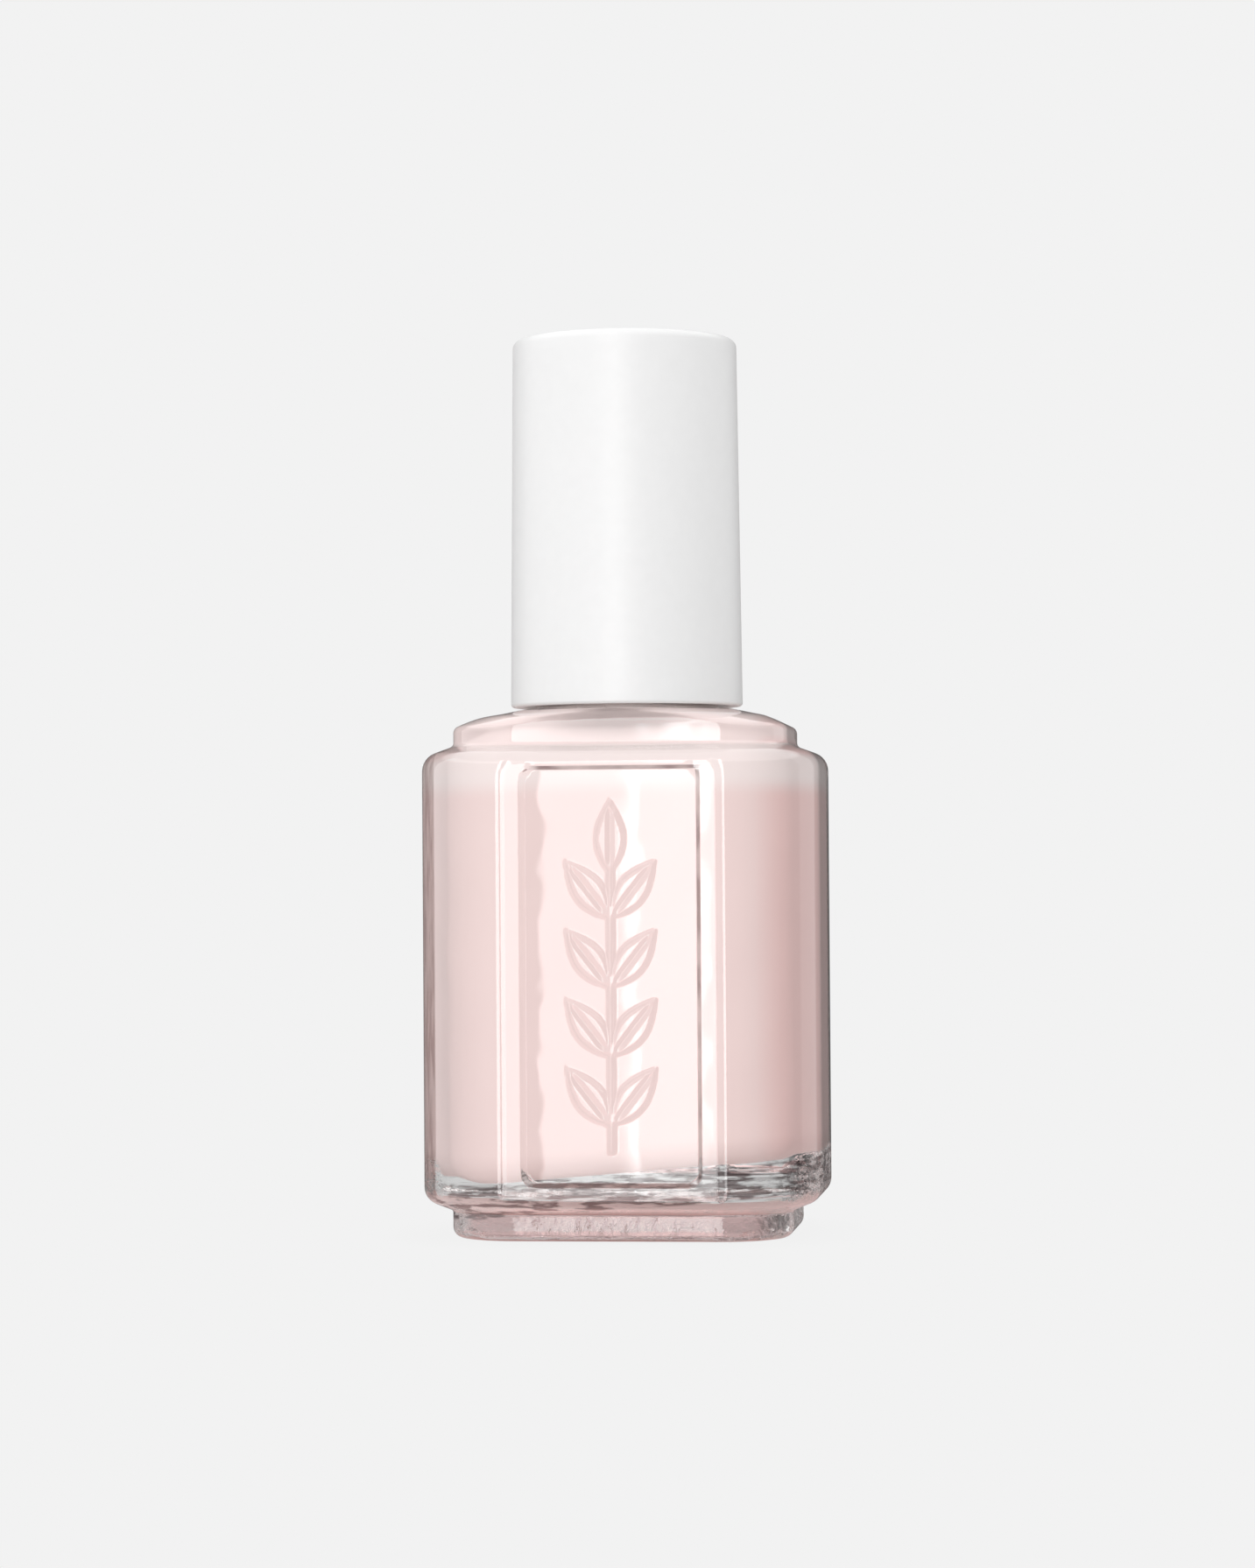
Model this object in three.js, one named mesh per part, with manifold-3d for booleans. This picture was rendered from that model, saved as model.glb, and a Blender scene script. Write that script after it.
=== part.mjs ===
// A 13.5 ml nail polish bottle: a heavy moulded glass bottle with a recessed panel front and back,
// filled with polish and two mixing balls, closed by a tall screw cap that carries the brush.
// Millimetres, +Z up. The origin is on the table, under the middle of the base. The front faces -Y.
import * as THREE from "three";
import { mergeVertices } from "three/addons/utils/BufferGeometryUtils.js";
import Module from "manifold-3d";

const wasm = await Module();
wasm.setup();

// ---------------------------------------------------------------- driving dimensions

const BODY = { width: 34.8, depth: 27.6, corner: 8.5 }; // plan of the glass at its widest
const FOOT_INSET = 2.5; // the foot is this much narrower than the body on every side
const STEP_INSET = 2.75; // and the upper step this much
const WALL_LOW = 4.3; // the upright wall runs from here
const WALL_HIGH = 40.6; // to here
const STEP_HIGH = 44.0; // top edge of the upper step
const DOME_TOP = { radius: 10.4, z: 45.85 }; // the domed shoulder turns round here, just under the cap
const NECK_FOOT = 46.2; // where the shoulder meets the neck
const LIP = 59.4; // top of the glass
const STANDING_RING = 1.7; // width of the ring that touches the table
const BASE_HOLLOW = 0.7; // depth of the hollow inside that ring

const CHAMBER = { width: 26.0, depth: 16.4, corner: 3.4, floor: 6.4, floorFillet: 2.6, high: 39.0 };
const BORE_RADIUS = 4.6;
const NECK_RADIUS = 6.5; // root of the thread
const NECK_BEAD_RADIUS = 8.1;

const PANEL = { width: 15.2, low: 5.0, high: 40.7, depth: 1.0, corner: 1.1 };
const SPRIG = { low: 8.0, high: 38.0, pairs: 4, leafLength: 6.4, leafWidth: 2.7, stroke: 0.6, rise: 0.4 };
const LEAF_LEAN = THREE.MathUtils.degToRad(38); // from upright

const THREAD = { lead: 2.12, turns: 1.6, low: 53.6, crest: 7.2, baseWidth: 1.3, crestWidth: 0.6 };
const CAP_THREAD = { root: 7.5, crest: 6.85 };

const CAP = { low: 46.3, high: 78.8, lowRadius: 10.25, highRadius: 9.9, wall: 1.35, roof: 1.6, edge: 0.7 };
const INNER_CAP = { low: 47.5, plateLow: 61.9, plateHigh: 63.3, radius: 8.25, socketRadius: 4.2, high: 70.0 };
const KNURL = { count: 20, rise: 0.2, width: 0.8 };
const CAP_RIB = { count: 8, width: 0.8, innerRadius: 8.7 };

const WASHER = { low: 59.5, high: 60.6, innerRadius: 4.5, outerRadius: 6.3 };
const FLANGE = { low: 60.7, high: 61.7, radius: 6.3 };
const STEM = { tip: 26.0, high: 68.4, headRadius: 2.45, topRadius: 2.1, tipRadius: 1.75, plugRadius: 4.2 };
const TUFT_BORE = { radius: 1.2, depth: 4.2 };
const TUFT = { tip: 8.3, rootRadius: 0.88, halfWidth: 2.5, halfDepth: 1.35 };
const STAPLE = { width: 1.9, thickness: 0.4, height: 1.5 };

const POLISH_GAP = 0.3; // between the polish and the glass
const POLISH_LEVEL = 42.4; // 13.5 ml stands at 39 mm; above that it is the film on the shoulder
const BRUSH_WELL_RADIUS = 3.75;
const BALL = { radius: 2.0, offset: 7.6, channelRadius: 2.3 };

const LABEL_THICKNESS = 0.2;
const LABEL_GAP = 0.1;
const LABEL_MARGIN = 0.8; // between the back label and the edge of its panel
const BASE_LABEL = { width: 20, depth: 11 };

const CORNER_STEPS = 9; // around each corner of a rounded rectangle
const ROUND_SEGMENTS = 40; // around turned parts
const THREAD_STEPS = 24; // per turn

// ---------------------------------------------------------------- materials

function material(color, roughness, extra = {}) {
  return new THREE.MeshStandardMaterial({ color, roughness, metalness: 0, ...extra });
}

const GLASS = material(0xf2f4f3, 0.03, { transparent: true, opacity: 0.35 });
const POLISH = material(0xf3d6d6, 0.25);
const CAP_PLASTIC = material(0xf4f4f4, 0.22);
const INNER_PLASTIC = material(0xe9e9e6, 0.45);
const STEM_PLASTIC = material(0xf1f1ee, 0.4);
const SEAL_FOAM = material(0xdfe3e6, 0.8);
const NYLON = material(0x2b2a2c, 0.35);
const STEEL = material(0xb9bcc0, 0.25, { metalness: 1 });
const LABEL_FILM = material(0xf6f3f2, 0.5);

// ---------------------------------------------------------------- solids and booleans

function solid(geometry) {
  const bare = geometry.clone();
  bare.deleteAttribute("normal");
  bare.deleteAttribute("uv");
  const merged = mergeVertices(bare, 1e-3);
  const corners = merged.index.array;
  const kept = [];
  for (let i = 0; i < corners.length; i += 3) {
    const [p, q, r] = corners.slice(i, i + 3);
    if (p !== q && q !== r && r !== p) kept.push(p, q, r);
  }
  return new wasm.Manifold(
    new wasm.Mesh({
      numProp: 3,
      vertProperties: merged.attributes.position.array,
      triVerts: new Uint32Array(kept),
    }),
  );
}

function geometryOf(manifold) {
  const mesh = manifold.getMesh();
  return new THREE.BufferGeometry()
    .setAttribute("position", new THREE.BufferAttribute(mesh.vertProperties, 3))
    .setIndex(new THREE.BufferAttribute(mesh.triVerts, 1));
}

function join(first, ...others) {
  return geometryOf(others.reduce((whole, piece) => whole.add(solid(piece)), solid(first)));
}

function cut(first, ...tools) {
  return geometryOf(tools.reduce((whole, tool) => whole.subtract(solid(tool)), solid(first)));
}

// ---------------------------------------------------------------- shape helpers

// The outline of a rounded rectangle with half sides a and b and corner radius r, as [x, y] points.
// Where a = b = r it is a circle, and the last point of each corner is the first of the next.
function outline({ a, b, r }) {
  const points = [];
  for (let quadrant = 0; quadrant < 4; quadrant++) {
    const centreX = (a - r) * (quadrant === 0 || quadrant === 3 ? 1 : -1);
    const centreY = (b - r) * (quadrant < 2 ? 1 : -1);
    for (let i = 0; i <= CORNER_STEPS; i++) {
      const angle = ((quadrant + i / CORNER_STEPS) * Math.PI) / 2;
      points.push([centreX + r * Math.cos(angle), centreY + r * Math.sin(angle)]);
    }
  }
  return points;
}

// A closed solid through a stack of rounded-rectangle rings, closed by a fan at each end.
// Rings run up the outside; a cup's rings go on over its rim and down the inside.
function loft(rings) {
  const positions = rings.flatMap((ring) => outline(ring).flatMap(([x, y]) => [x, y, ring.z]));
  const count = 4 * (CORNER_STEPS + 1);
  const start = rings.length * count;
  positions.push(0, 0, rings[0].z, 0, 0, rings.at(-1).z);
  const index = [];
  for (let j = 0; j < count; j++) {
    const k = (j + 1) % count;
    index.push(start, k, j);
    for (let i = 0; i + 1 < rings.length; i++) {
      const low = i * count;
      const high = low + count;
      index.push(low + j, low + k, high + k, low + j, high + k, high + j);
    }
    index.push(start + 1, start - count + j, start - count + k);
  }
  return new THREE.BufferGeometry()
    .setAttribute("position", new THREE.BufferAttribute(new Float32Array(positions), 3))
    .setIndex(index);
}

// Points [x, z] on an arc about (cx, cz), from one angle to another in degrees.
function arc(cx, cz, radius, from, to, steps) {
  return Array.from({ length: steps + 1 }, (_, i) => {
    const t = THREE.MathUtils.degToRad(from + ((to - from) * i) / steps);
    return [cx + radius * Math.cos(t), cz + radius * Math.sin(t)];
  });
}

// A turned solid from a profile of [radius, z] points, going up the outside.
function turned(profile, segments = ROUND_SEGMENTS) {
  const points = profile.map(([radius, z]) => new THREE.Vector2(radius, z));
  return new THREE.LatheGeometry(points, segments).rotateX(Math.PI / 2);
}

function cylinder(radius, low, high, segments = ROUND_SEGMENTS) {
  return new THREE.CylinderGeometry(radius, radius, high - low, segments)
    .rotateX(Math.PI / 2)
    .translate(0, 0, (low + high) / 2);
}

function block(width, depth, height) {
  return new THREE.BoxGeometry(width, depth, height);
}

function roundedRectangle(width, height, corner) {
  const x = width / 2;
  const y = height / 2;
  const quarter = Math.PI / 2;
  const shape = new THREE.Shape();
  shape.moveTo(-x + corner, -y);
  shape.lineTo(x - corner, -y);
  shape.absarc(x - corner, -y + corner, corner, -quarter, 0);
  shape.absarc(x - corner, y - corner, corner, 0, quarter);
  shape.absarc(-x + corner, y - corner, corner, quarter, 2 * quarter);
  shape.absarc(-x + corner, -y + corner, corner, 2 * quarter, 3 * quarter);
  return shape;
}

// A shape drawn in the XZ plane, as a plate from y = near to y = far.
function uprightPlate(shape, near, far, curveSegments = 4) {
  return new THREE.ExtrudeGeometry(shape, { depth: far - near, bevelEnabled: false, curveSegments })
    .rotateX(Math.PI / 2)
    .translate(0, far, 0);
}

// A helical ridge standing on a round wall: outwards if its crest is wider than its root, else inwards.
// It fades into the wall over the first and last eighth of a turn.
function helicalRidge({ root, crest, low, turns, lead, baseWidth, crestWidth }) {
  const positions = [];
  const index = [];
  const steps = Math.round(turns * THREAD_STEPS);
  const fade = THREAD_STEPS / 8;
  const side = Math.sign(crest - root);
  const buried = root - side * 0.3;
  for (let i = 0; i <= steps; i++) {
    const angle = (2 * Math.PI * i) / THREAD_STEPS;
    const z = low + (lead * i) / THREAD_STEPS;
    const full = Math.min(1, i / fade, (steps - i) / fade);
    const top = THREE.MathUtils.lerp(root - side * 0.1, crest, full);
    const section = [
      [buried, -baseWidth / 2],
      [top, -crestWidth / 2],
      [top, crestWidth / 2],
      [buried, baseWidth / 2],
    ];
    for (const [radius, dz] of section) {
      positions.push(radius * Math.cos(angle), radius * Math.sin(angle), z + dz);
    }
  }
  const face = (...corners) => index.push(...(side > 0 ? corners : corners.reverse()));
  for (let i = 0; i < steps; i++) {
    for (let j = 0; j < 4; j++) {
      const k = (j + 1) % 4;
      const [here, next] = [4 * i, 4 * i + 4];
      face(here + j, next + j, next + k);
      face(here + j, next + k, here + k);
    }
  }
  const last = 4 * steps;
  face(0, 1, 2);
  face(0, 2, 3);
  face(last, last + 2, last + 1);
  face(last, last + 3, last + 2);
  return new THREE.BufferGeometry()
    .setAttribute("position", new THREE.BufferAttribute(new Float32Array(positions), 3))
    .setIndex(index);
}

// ---------------------------------------------------------------- glass bottle

const halfWidth = BODY.width / 2;
const halfDepth = BODY.depth / 2;
const footHalfWidth = halfWidth - FOOT_INSET;
const stepHalfWidth = halfWidth - STEP_INSET;

// The outline of the glass where its half width is x: an even inset of the body's plan.
function bodySection(x) {
  const inset = halfWidth - x;
  return { a: x, b: halfDepth - inset, r: BODY.corner - inset };
}

// On the domed shoulder the outline blends from the upper step's rounded rectangle to a circle.
function shoulderSection(x) {
  const step = bodySection(stepHalfWidth);
  const blend = (step.a - x) / (step.a - DOME_TOP.radius);
  return {
    a: x,
    b: THREE.MathUtils.lerp(step.b, DOME_TOP.radius, blend),
    r: THREE.MathUtils.lerp(step.r, DOME_TOP.radius, blend),
  };
}

function round(radius) {
  return { a: radius, b: radius, r: radius };
}

// The chamber's outline where its half width is x, blending to the round bore above its upright walls.
function chamberSection(x, inset = 0) {
  const away = CHAMBER.width / 2 - inset - x;
  return { a: x, b: CHAMBER.depth / 2 - inset - away, r: Math.max(CHAMBER.corner - inset - away, 0.8) };
}

function chamberShoulderSection(x, inset = 0) {
  const wall = chamberSection(CHAMBER.width / 2 - inset, inset);
  const blend = (wall.a - x) / (wall.a - BORE_RADIUS);
  return {
    a: x,
    b: THREE.MathUtils.lerp(wall.b, BORE_RADIUS, blend),
    r: THREE.MathUtils.lerp(wall.r, BORE_RADIUS, blend),
  };
}

const ringsOf = (points, section) => points.map(([x, z]) => ({ ...section(x), z }));

function outerRings() {
  const ring = footHalfWidth - 0.9;
  const base = [
    [ring - STANDING_RING - 0.6, BASE_HOLLOW],
    [ring - STANDING_RING, 0],
    ...arc(ring, 0.9, 0.9, -90, 0, 3),
  ];
  const underside = [
    [footHalfWidth, 2.1],
    [footHalfWidth + 0.2, 2.5],
    ...arc(halfWidth - 1.5, WALL_LOW, 1.5, -65, 0, 4),
  ];
  const upper = [
    ...arc(halfWidth - 1.7, WALL_HIGH, 1.7, 0, 65, 4),
    [stepHalfWidth + 0.25, 42.7],
    [stepHalfWidth, 43.2],
    [stepHalfWidth, STEP_HIGH - 0.6],
  ];
  const dome = [
    ...arc(stepHalfWidth - 0.9, STEP_HIGH - 0.1, 0.9, 15, 70, 3),
    [12.6, 45.35],
    [DOME_TOP.radius, DOME_TOP.z],
  ];
  const neck = [
    [NECK_BEAD_RADIUS, NECK_FOOT],
    [NECK_BEAD_RADIUS, 46.8],
    [NECK_BEAD_RADIUS - 0.3, 47.1],
    [NECK_RADIUS, 47.3],
    ...arc(NECK_RADIUS - 0.5, LIP - 0.5, 0.5, 0, 90, 3),
  ];
  return [
    ...ringsOf([...base, ...underside, ...upper], bodySection),
    ...ringsOf(dome, shoulderSection),
    ...ringsOf(neck, round),
  ];
}

// The cavity's rings from the bore down to the floor, kept `inset` clear of the glass.
function innerRings(inset = 0) {
  const wall = CHAMBER.width / 2 - inset;
  const floor = CHAMBER.floor + inset;
  const shoulder = [
    [5.2, 46.4],
    [7.2, 45.0],
    [10.6, 43.8],
    [12.4, 41.8],
  ];
  const corner = arc(wall - CHAMBER.floorFillet, floor + CHAMBER.floorFillet, CHAMBER.floorFillet, 0, -90, 4);
  return [
    ...ringsOf([...shoulder.map(([x, z]) => [x - inset, z - inset]), [wall, CHAMBER.high]], (x) =>
      chamberShoulderSection(x, inset),
    ),
    ...ringsOf(corner, (x) => chamberSection(x, inset)),
  ];
}

function boreRings() {
  return ringsOf([...arc(BORE_RADIUS + 0.4, LIP - 0.4, 0.4, 90, 180, 2), [BORE_RADIUS, 47.6]], round);
}

// The panel recess, cut into the front; turned half round, it also cuts the back.
function panelCutter() {
  const shape = roundedRectangle(PANEL.width, PANEL.high - PANEL.low, PANEL.corner);
  return uprightPlate(shape, -halfDepth - 3, -halfDepth + PANEL.depth).translate(
    0,
    0,
    (PANEL.low + PANEL.high) / 2,
  );
}

// An almond-shaped leaf centred on the origin.
function leafShape() {
  const { leafLength, leafWidth } = SPRIG;
  const shape = new THREE.Shape();
  shape.moveTo(0, -leafLength / 2);
  shape.quadraticCurveTo(leafWidth, 0, 0, leafLength / 2);
  shape.quadraticCurveTo(-leafWidth, 0, 0, -leafLength / 2);
  return shape;
}

// The moulded ornament on the front panel: an upright stalk with pairs of leaves and one at its tip.
function sprigPieces() {
  const floor = -halfDepth + PANEL.depth;
  const plate = (shape) => uprightPlate(shape, floor - SPRIG.rise, floor + 0.3, 5);
  const stalkHigh = SPRIG.high - SPRIG.leafLength;
  const stalk = block(SPRIG.stroke, SPRIG.rise + 0.3, stalkHigh - SPRIG.low + 0.2).translate(
    0,
    floor + (0.3 - SPRIG.rise) / 2,
    (SPRIG.low + stalkHigh + 0.2) / 2,
  );
  const leaves = [plate(leafShape()).translate(0, 0, SPRIG.high - SPRIG.leafLength / 2)];
  const spacing = (stalkHigh - SPRIG.low) / SPRIG.pairs;
  const reach = SPRIG.leafLength / 2;
  for (let i = 0; i < SPRIG.pairs; i++) {
    for (const side of [-1, 1]) {
      const z = SPRIG.low + spacing * (i + 0.35);
      leaves.push(
        plate(leafShape())
          .rotateY(side * LEAF_LEAN)
          .translate(side * reach * Math.sin(LEAF_LEAN), 0, z + reach * Math.cos(LEAF_LEAN)),
      );
    }
  }
  return [stalk, ...leaves];
}

function glassBottle() {
  const blank = loft([...outerRings(), ...boreRings(), ...innerRings()]);
  const recessed = cut(blank, panelCutter(), panelCutter().rotateZ(Math.PI));
  return join(recessed, helicalRidge({ root: NECK_RADIUS, ...THREAD }), ...sprigPieces());
}

// ---------------------------------------------------------------- contents

// The fill, with a well for the brush and a channel for each ball to travel in.
function polishFill() {
  const rings = innerRings(POLISH_GAP).reverse();
  const below = rings.filter((ring) => ring.z < POLISH_LEVEL);
  const surface = { ...chamberShoulderSection(11.2, POLISH_GAP), z: POLISH_LEVEL };
  const well = cylinder(BRUSH_WELL_RADIUS, 7.4, POLISH_LEVEL + 1, 24);
  const channels = [-1, 1].map((side) =>
    cylinder(BALL.channelRadius, CHAMBER.floor - 1, POLISH_LEVEL + 1, 20).translate(side * BALL.offset, 0, 0),
  );
  return cut(loft([...below, surface]), well, ...channels);
}

function mixingBall() {
  return new THREE.SphereGeometry(BALL.radius, 18, 12).rotateX(Math.PI / 2);
}

// ---------------------------------------------------------------- labels

function backLabel() {
  const width = PANEL.width - 2 * LABEL_MARGIN;
  const height = PANEL.high - PANEL.low - 2 * LABEL_MARGIN;
  const near = halfDepth - PANEL.depth + LABEL_GAP;
  return uprightPlate(roundedRectangle(width, height, 0.8), near, near + LABEL_THICKNESS);
}

function baseLabel() {
  const shape = roundedRectangle(BASE_LABEL.width, BASE_LABEL.depth, BASE_LABEL.depth / 2 - 0.01);
  return new THREE.ExtrudeGeometry(shape, {
    depth: LABEL_THICKNESS,
    bevelEnabled: false,
    curveSegments: 8,
  });
}

// ---------------------------------------------------------------- cap

// The tall white outer cap: a drafted cup, open downwards, with ribs inside that grip the inner cap.
function overcap() {
  const { low, high, lowRadius, highRadius, wall, roof, edge } = CAP;
  const inner = lowRadius - wall;
  const cup = turned([
    [0, high - roof],
    [inner - 0.9, high - roof],
    [inner, high - roof - 1.2],
    [inner, low + 0.3],
    [inner + 0.3, low],
    [lowRadius - 0.25, low],
    [lowRadius, low + 0.25],
    ...arc(highRadius - edge, high - edge, edge, 0, 90, 4),
    [0, high],
  ]);
  const ribHeight = INNER_CAP.plateHigh - INNER_CAP.low;
  const ribs = Array.from({ length: CAP_RIB.count }, (_, i) => {
    const depth = inner + 0.3 - CAP_RIB.innerRadius;
    return block(depth, CAP_RIB.width, ribHeight)
      .translate(CAP_RIB.innerRadius + depth / 2, 0, INNER_CAP.low + ribHeight / 2)
      .rotateZ((2 * Math.PI * (i + 0.5)) / CAP_RIB.count);
  });
  return join(cup, ...ribs);
}

// The threaded inner cap: a knurled cup whose roof carries a closed socket for the brush.
function innerCap() {
  const { low, plateLow, plateHigh, radius, socketRadius, high } = INNER_CAP;
  const bore = STEM.headRadius + 0.3;
  const cup = turned([
    [0, high - 1.0],
    [bore, high - 1.0],
    [bore, 67.9],
    [bore + 0.3, 67.6],
    [bore + 0.3, 66.6],
    [bore, 66.3],
    [bore, plateLow],
    [CAP_THREAD.root, plateLow],
    [CAP_THREAD.root, low],
    [radius, low],
    [radius, plateHigh],
    [socketRadius, plateHigh],
    [socketRadius, high - 0.4],
    [socketRadius - 0.4, high],
    [0, high],
  ]);
  const ridge = helicalRidge({ ...THREAD, ...CAP_THREAD, low: THREAD.low - THREAD.lead / 2 });
  const knurls = Array.from({ length: KNURL.count }, (_, i) =>
    block(KNURL.rise + 0.2, KNURL.width, plateHigh - low - 2)
      .translate(radius + (KNURL.rise - 0.2) / 2, 0, (plateHigh + low) / 2)
      .rotateZ((2 * Math.PI * i) / KNURL.count),
  );
  return join(cup, ridge, ...knurls);
}

function sealWasher() {
  const { low, high, innerRadius, outerRadius } = WASHER;
  return turned([
    [innerRadius, low],
    [outerRadius, low],
    [outerRadius, high],
    [innerRadius, high],
    [innerRadius, low],
  ]);
}

// ---------------------------------------------------------------- brush

// The moulded stem: a barbed head for the socket, a sealing flange, a plug for the bore and a long taper.
function brushStem() {
  const { tip, high, headRadius, topRadius, tipRadius, plugRadius } = STEM;
  const boreTop = tip + TUFT_BORE.depth;
  return turned(
    [
      [0, boreTop],
      [TUFT_BORE.radius, boreTop],
      [TUFT_BORE.radius, tip],
      [tipRadius - 0.2, tip],
      [tipRadius, tip + 0.3],
      [tipRadius, boreTop + 0.8],
      [tipRadius - 0.1, boreTop + 1.6],
      [topRadius, 55.2],
      [topRadius + 0.6, 56.2],
      [plugRadius - 0.4, 57.0],
      [plugRadius, 57.8],
      [plugRadius, FLANGE.low],
      [FLANGE.radius, FLANGE.low],
      [FLANGE.radius, FLANGE.high],
      [headRadius, FLANGE.high],
      [headRadius, 66.5],
      [headRadius + 0.3, 66.8],
      [headRadius + 0.3, 67.1],
      [headRadius - 0.2, high],
      [0, high],
    ],
    28,
  );
}

// The folded tuft of filaments, as one tapering solid with a rounded, slightly flattened end.
function bristleTuft() {
  const { tip, rootRadius, halfWidth: wide, halfDepth: deep } = TUFT;
  const root = STEM.tip + TUFT_BORE.depth - STAPLE.height - 0.6;
  const oval = (z, a, b) => ({ z, a, b, r: 0.95 * b });
  const tuft = loft([
    oval(tip, wide * 0.35, deep * 0.45),
    oval(tip + 0.5, wide * 0.66, deep * 0.72),
    oval(tip + 1.6, wide * 0.9, deep * 0.93),
    oval(tip + 3.2, wide, deep),
    oval(tip + 7.5, wide * 0.94, deep),
    oval(tip + 13, wide * 0.6, deep * 0.88),
    oval(STEM.tip - 0.3, rootRadius + 0.15, rootRadius + 0.1),
    oval(STEM.tip + 0.4, rootRadius + 0.02, rootRadius),
    oval(root, rootRadius + 0.02, rootRadius),
  ]);
  return geometryOf(solid(tuft));
}

// The flat wire anchor that pins the folded filaments in the stem's bore.
function bristleStaple() {
  return block(STAPLE.width, STAPLE.thickness, STAPLE.height);
}

// ---------------------------------------------------------------- assembly

function piece(name, geometry, look, x = 0, y = 0, z = 0) {
  const mesh = new THREE.Mesh(geometry, look);
  mesh.name = name;
  mesh.position.set(x, y, z);
  return mesh;
}

const bottle = new THREE.Group();
const stapleHeight = STEM.tip + TUFT_BORE.depth - 0.2 - STAPLE.height / 2;
const ballRest = CHAMBER.floor + BALL.radius + 0.05;
bottle.add(
  piece("glass_bottle", glassBottle(), GLASS),
  piece("polish", polishFill(), POLISH),
  piece("mixing_ball_left", mixingBall(), STEEL, -BALL.offset, 0, ballRest),
  piece("mixing_ball_right", mixingBall(), STEEL, BALL.offset, 0, ballRest),
  piece("back_label", backLabel(), LABEL_FILM, 0, 0, (PANEL.low + PANEL.high) / 2),
  piece("base_label", baseLabel(), LABEL_FILM, 0, 0, BASE_HOLLOW - LABEL_GAP - LABEL_THICKNESS),
);

const cap = new THREE.Group();
cap.add(
  piece("overcap", overcap(), CAP_PLASTIC),
  piece("inner_cap", innerCap(), INNER_PLASTIC),
  piece("seal_washer", sealWasher(), SEAL_FOAM),
);

const brush = new THREE.Group();
brush.add(
  piece("brush_stem", brushStem(), STEM_PLASTIC),
  piece("bristles", bristleTuft(), NYLON),
  piece("bristle_staple", bristleStaple(), STEEL, 0, 0, stapleHeight),
);
cap.add(brush);

const nailPolishBottle = new THREE.Group();
nailPolishBottle.add(bottle, cap);

export default nailPolishBottle;
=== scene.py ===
"""Looks of a 13.5 ml nail polish bottle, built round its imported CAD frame.

Shapes are worked out in millimetres and written to the meshes in metres. The front panel faces -Y.
"""

import math

import bpy
import numpy as np
from mathutils import Matrix, Vector


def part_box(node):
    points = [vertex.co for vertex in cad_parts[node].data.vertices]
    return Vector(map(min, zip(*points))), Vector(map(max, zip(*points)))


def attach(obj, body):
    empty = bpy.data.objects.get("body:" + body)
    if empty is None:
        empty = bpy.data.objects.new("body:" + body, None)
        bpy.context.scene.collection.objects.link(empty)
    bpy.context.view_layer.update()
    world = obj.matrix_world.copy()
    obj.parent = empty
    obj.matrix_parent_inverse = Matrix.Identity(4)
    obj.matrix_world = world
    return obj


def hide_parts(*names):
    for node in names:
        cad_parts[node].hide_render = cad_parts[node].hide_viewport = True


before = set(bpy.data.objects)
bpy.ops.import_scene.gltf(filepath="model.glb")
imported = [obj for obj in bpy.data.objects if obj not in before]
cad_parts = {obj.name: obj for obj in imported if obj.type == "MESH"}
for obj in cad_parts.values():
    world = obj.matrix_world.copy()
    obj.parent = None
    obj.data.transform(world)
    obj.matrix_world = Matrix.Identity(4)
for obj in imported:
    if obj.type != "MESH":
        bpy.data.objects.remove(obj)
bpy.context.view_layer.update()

MM = 0.001
SEED = 7
NO_TRIANGLES = np.zeros((0, 3), int)


def cad_box(node):
    """Lowest and highest corner of a CAD node, in millimetres."""
    low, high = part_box(node)
    return np.array(low) / MM, np.array(high) / MM


# ------------------------------------------------------------------ dimensions, in millimetres

GLASS_HIGH = cad_box("glass_bottle")[1]
CAP_LOW, CAP_HIGH = cad_box("overcap")
INNER_LOW, INNER_HIGH = cad_box("inner_cap")
WASHER_LOW, WASHER_HIGH = cad_box("seal_washer")
STEM_LOW, STEM_HIGH = cad_box("brush_stem")
TUFT_LOW, TUFT_HIGH = cad_box("bristles")
STAPLE_LOW, STAPLE_HIGH = cad_box("bristle_staple")
BACK_LOW, BACK_HIGH = cad_box("back_label")
BASE_LOW, BASE_HIGH = cad_box("base_label")

BODY_A = GLASS_HIGH[0]  # half width
BODY_B = GLASS_HIGH[1]  # half depth
BODY_R = 8.5  # corner radius in plan
FOOT_A = BODY_A - 2.5  # half width of the foot
STEP_A = BODY_A - 2.75  # half width of the upper step
DOME_R = 10.4  # the domed shoulder turns round here, just under the cap
DOME_HIGH = 45.85
LIP = GLASS_HIGH[2]
BASE_HOLLOW = 0.7
RING_INNER = 12.3  # half width of the inner edge of the standing ring
WALL_FOOT = 3.35
WALL_TOP = 41.8
STEP_FOOT = 42.8
STEP_TOP = 44.35
NECK_FOOT = 46.3
BEAD_R = 8.1  # the bead at the foot of the neck
BEAD_HIGH = 47.2
NECK_LOW = 47.4  # the plain neck and its bore run from here
NECK_R = 6.5
BORE_R = 4.6

CHAMBER_A = 13.0
CHAMBER_B = 8.2
CHAMBER_R = 3.4
CHAMBER_FLOOR = 5.75
FLOOR_TILT = 0.085  # the chamber floor rises by this share towards the right
FLOOR_FILLET = 2.4
CHAMBER_HIGH = 39.0

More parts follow.
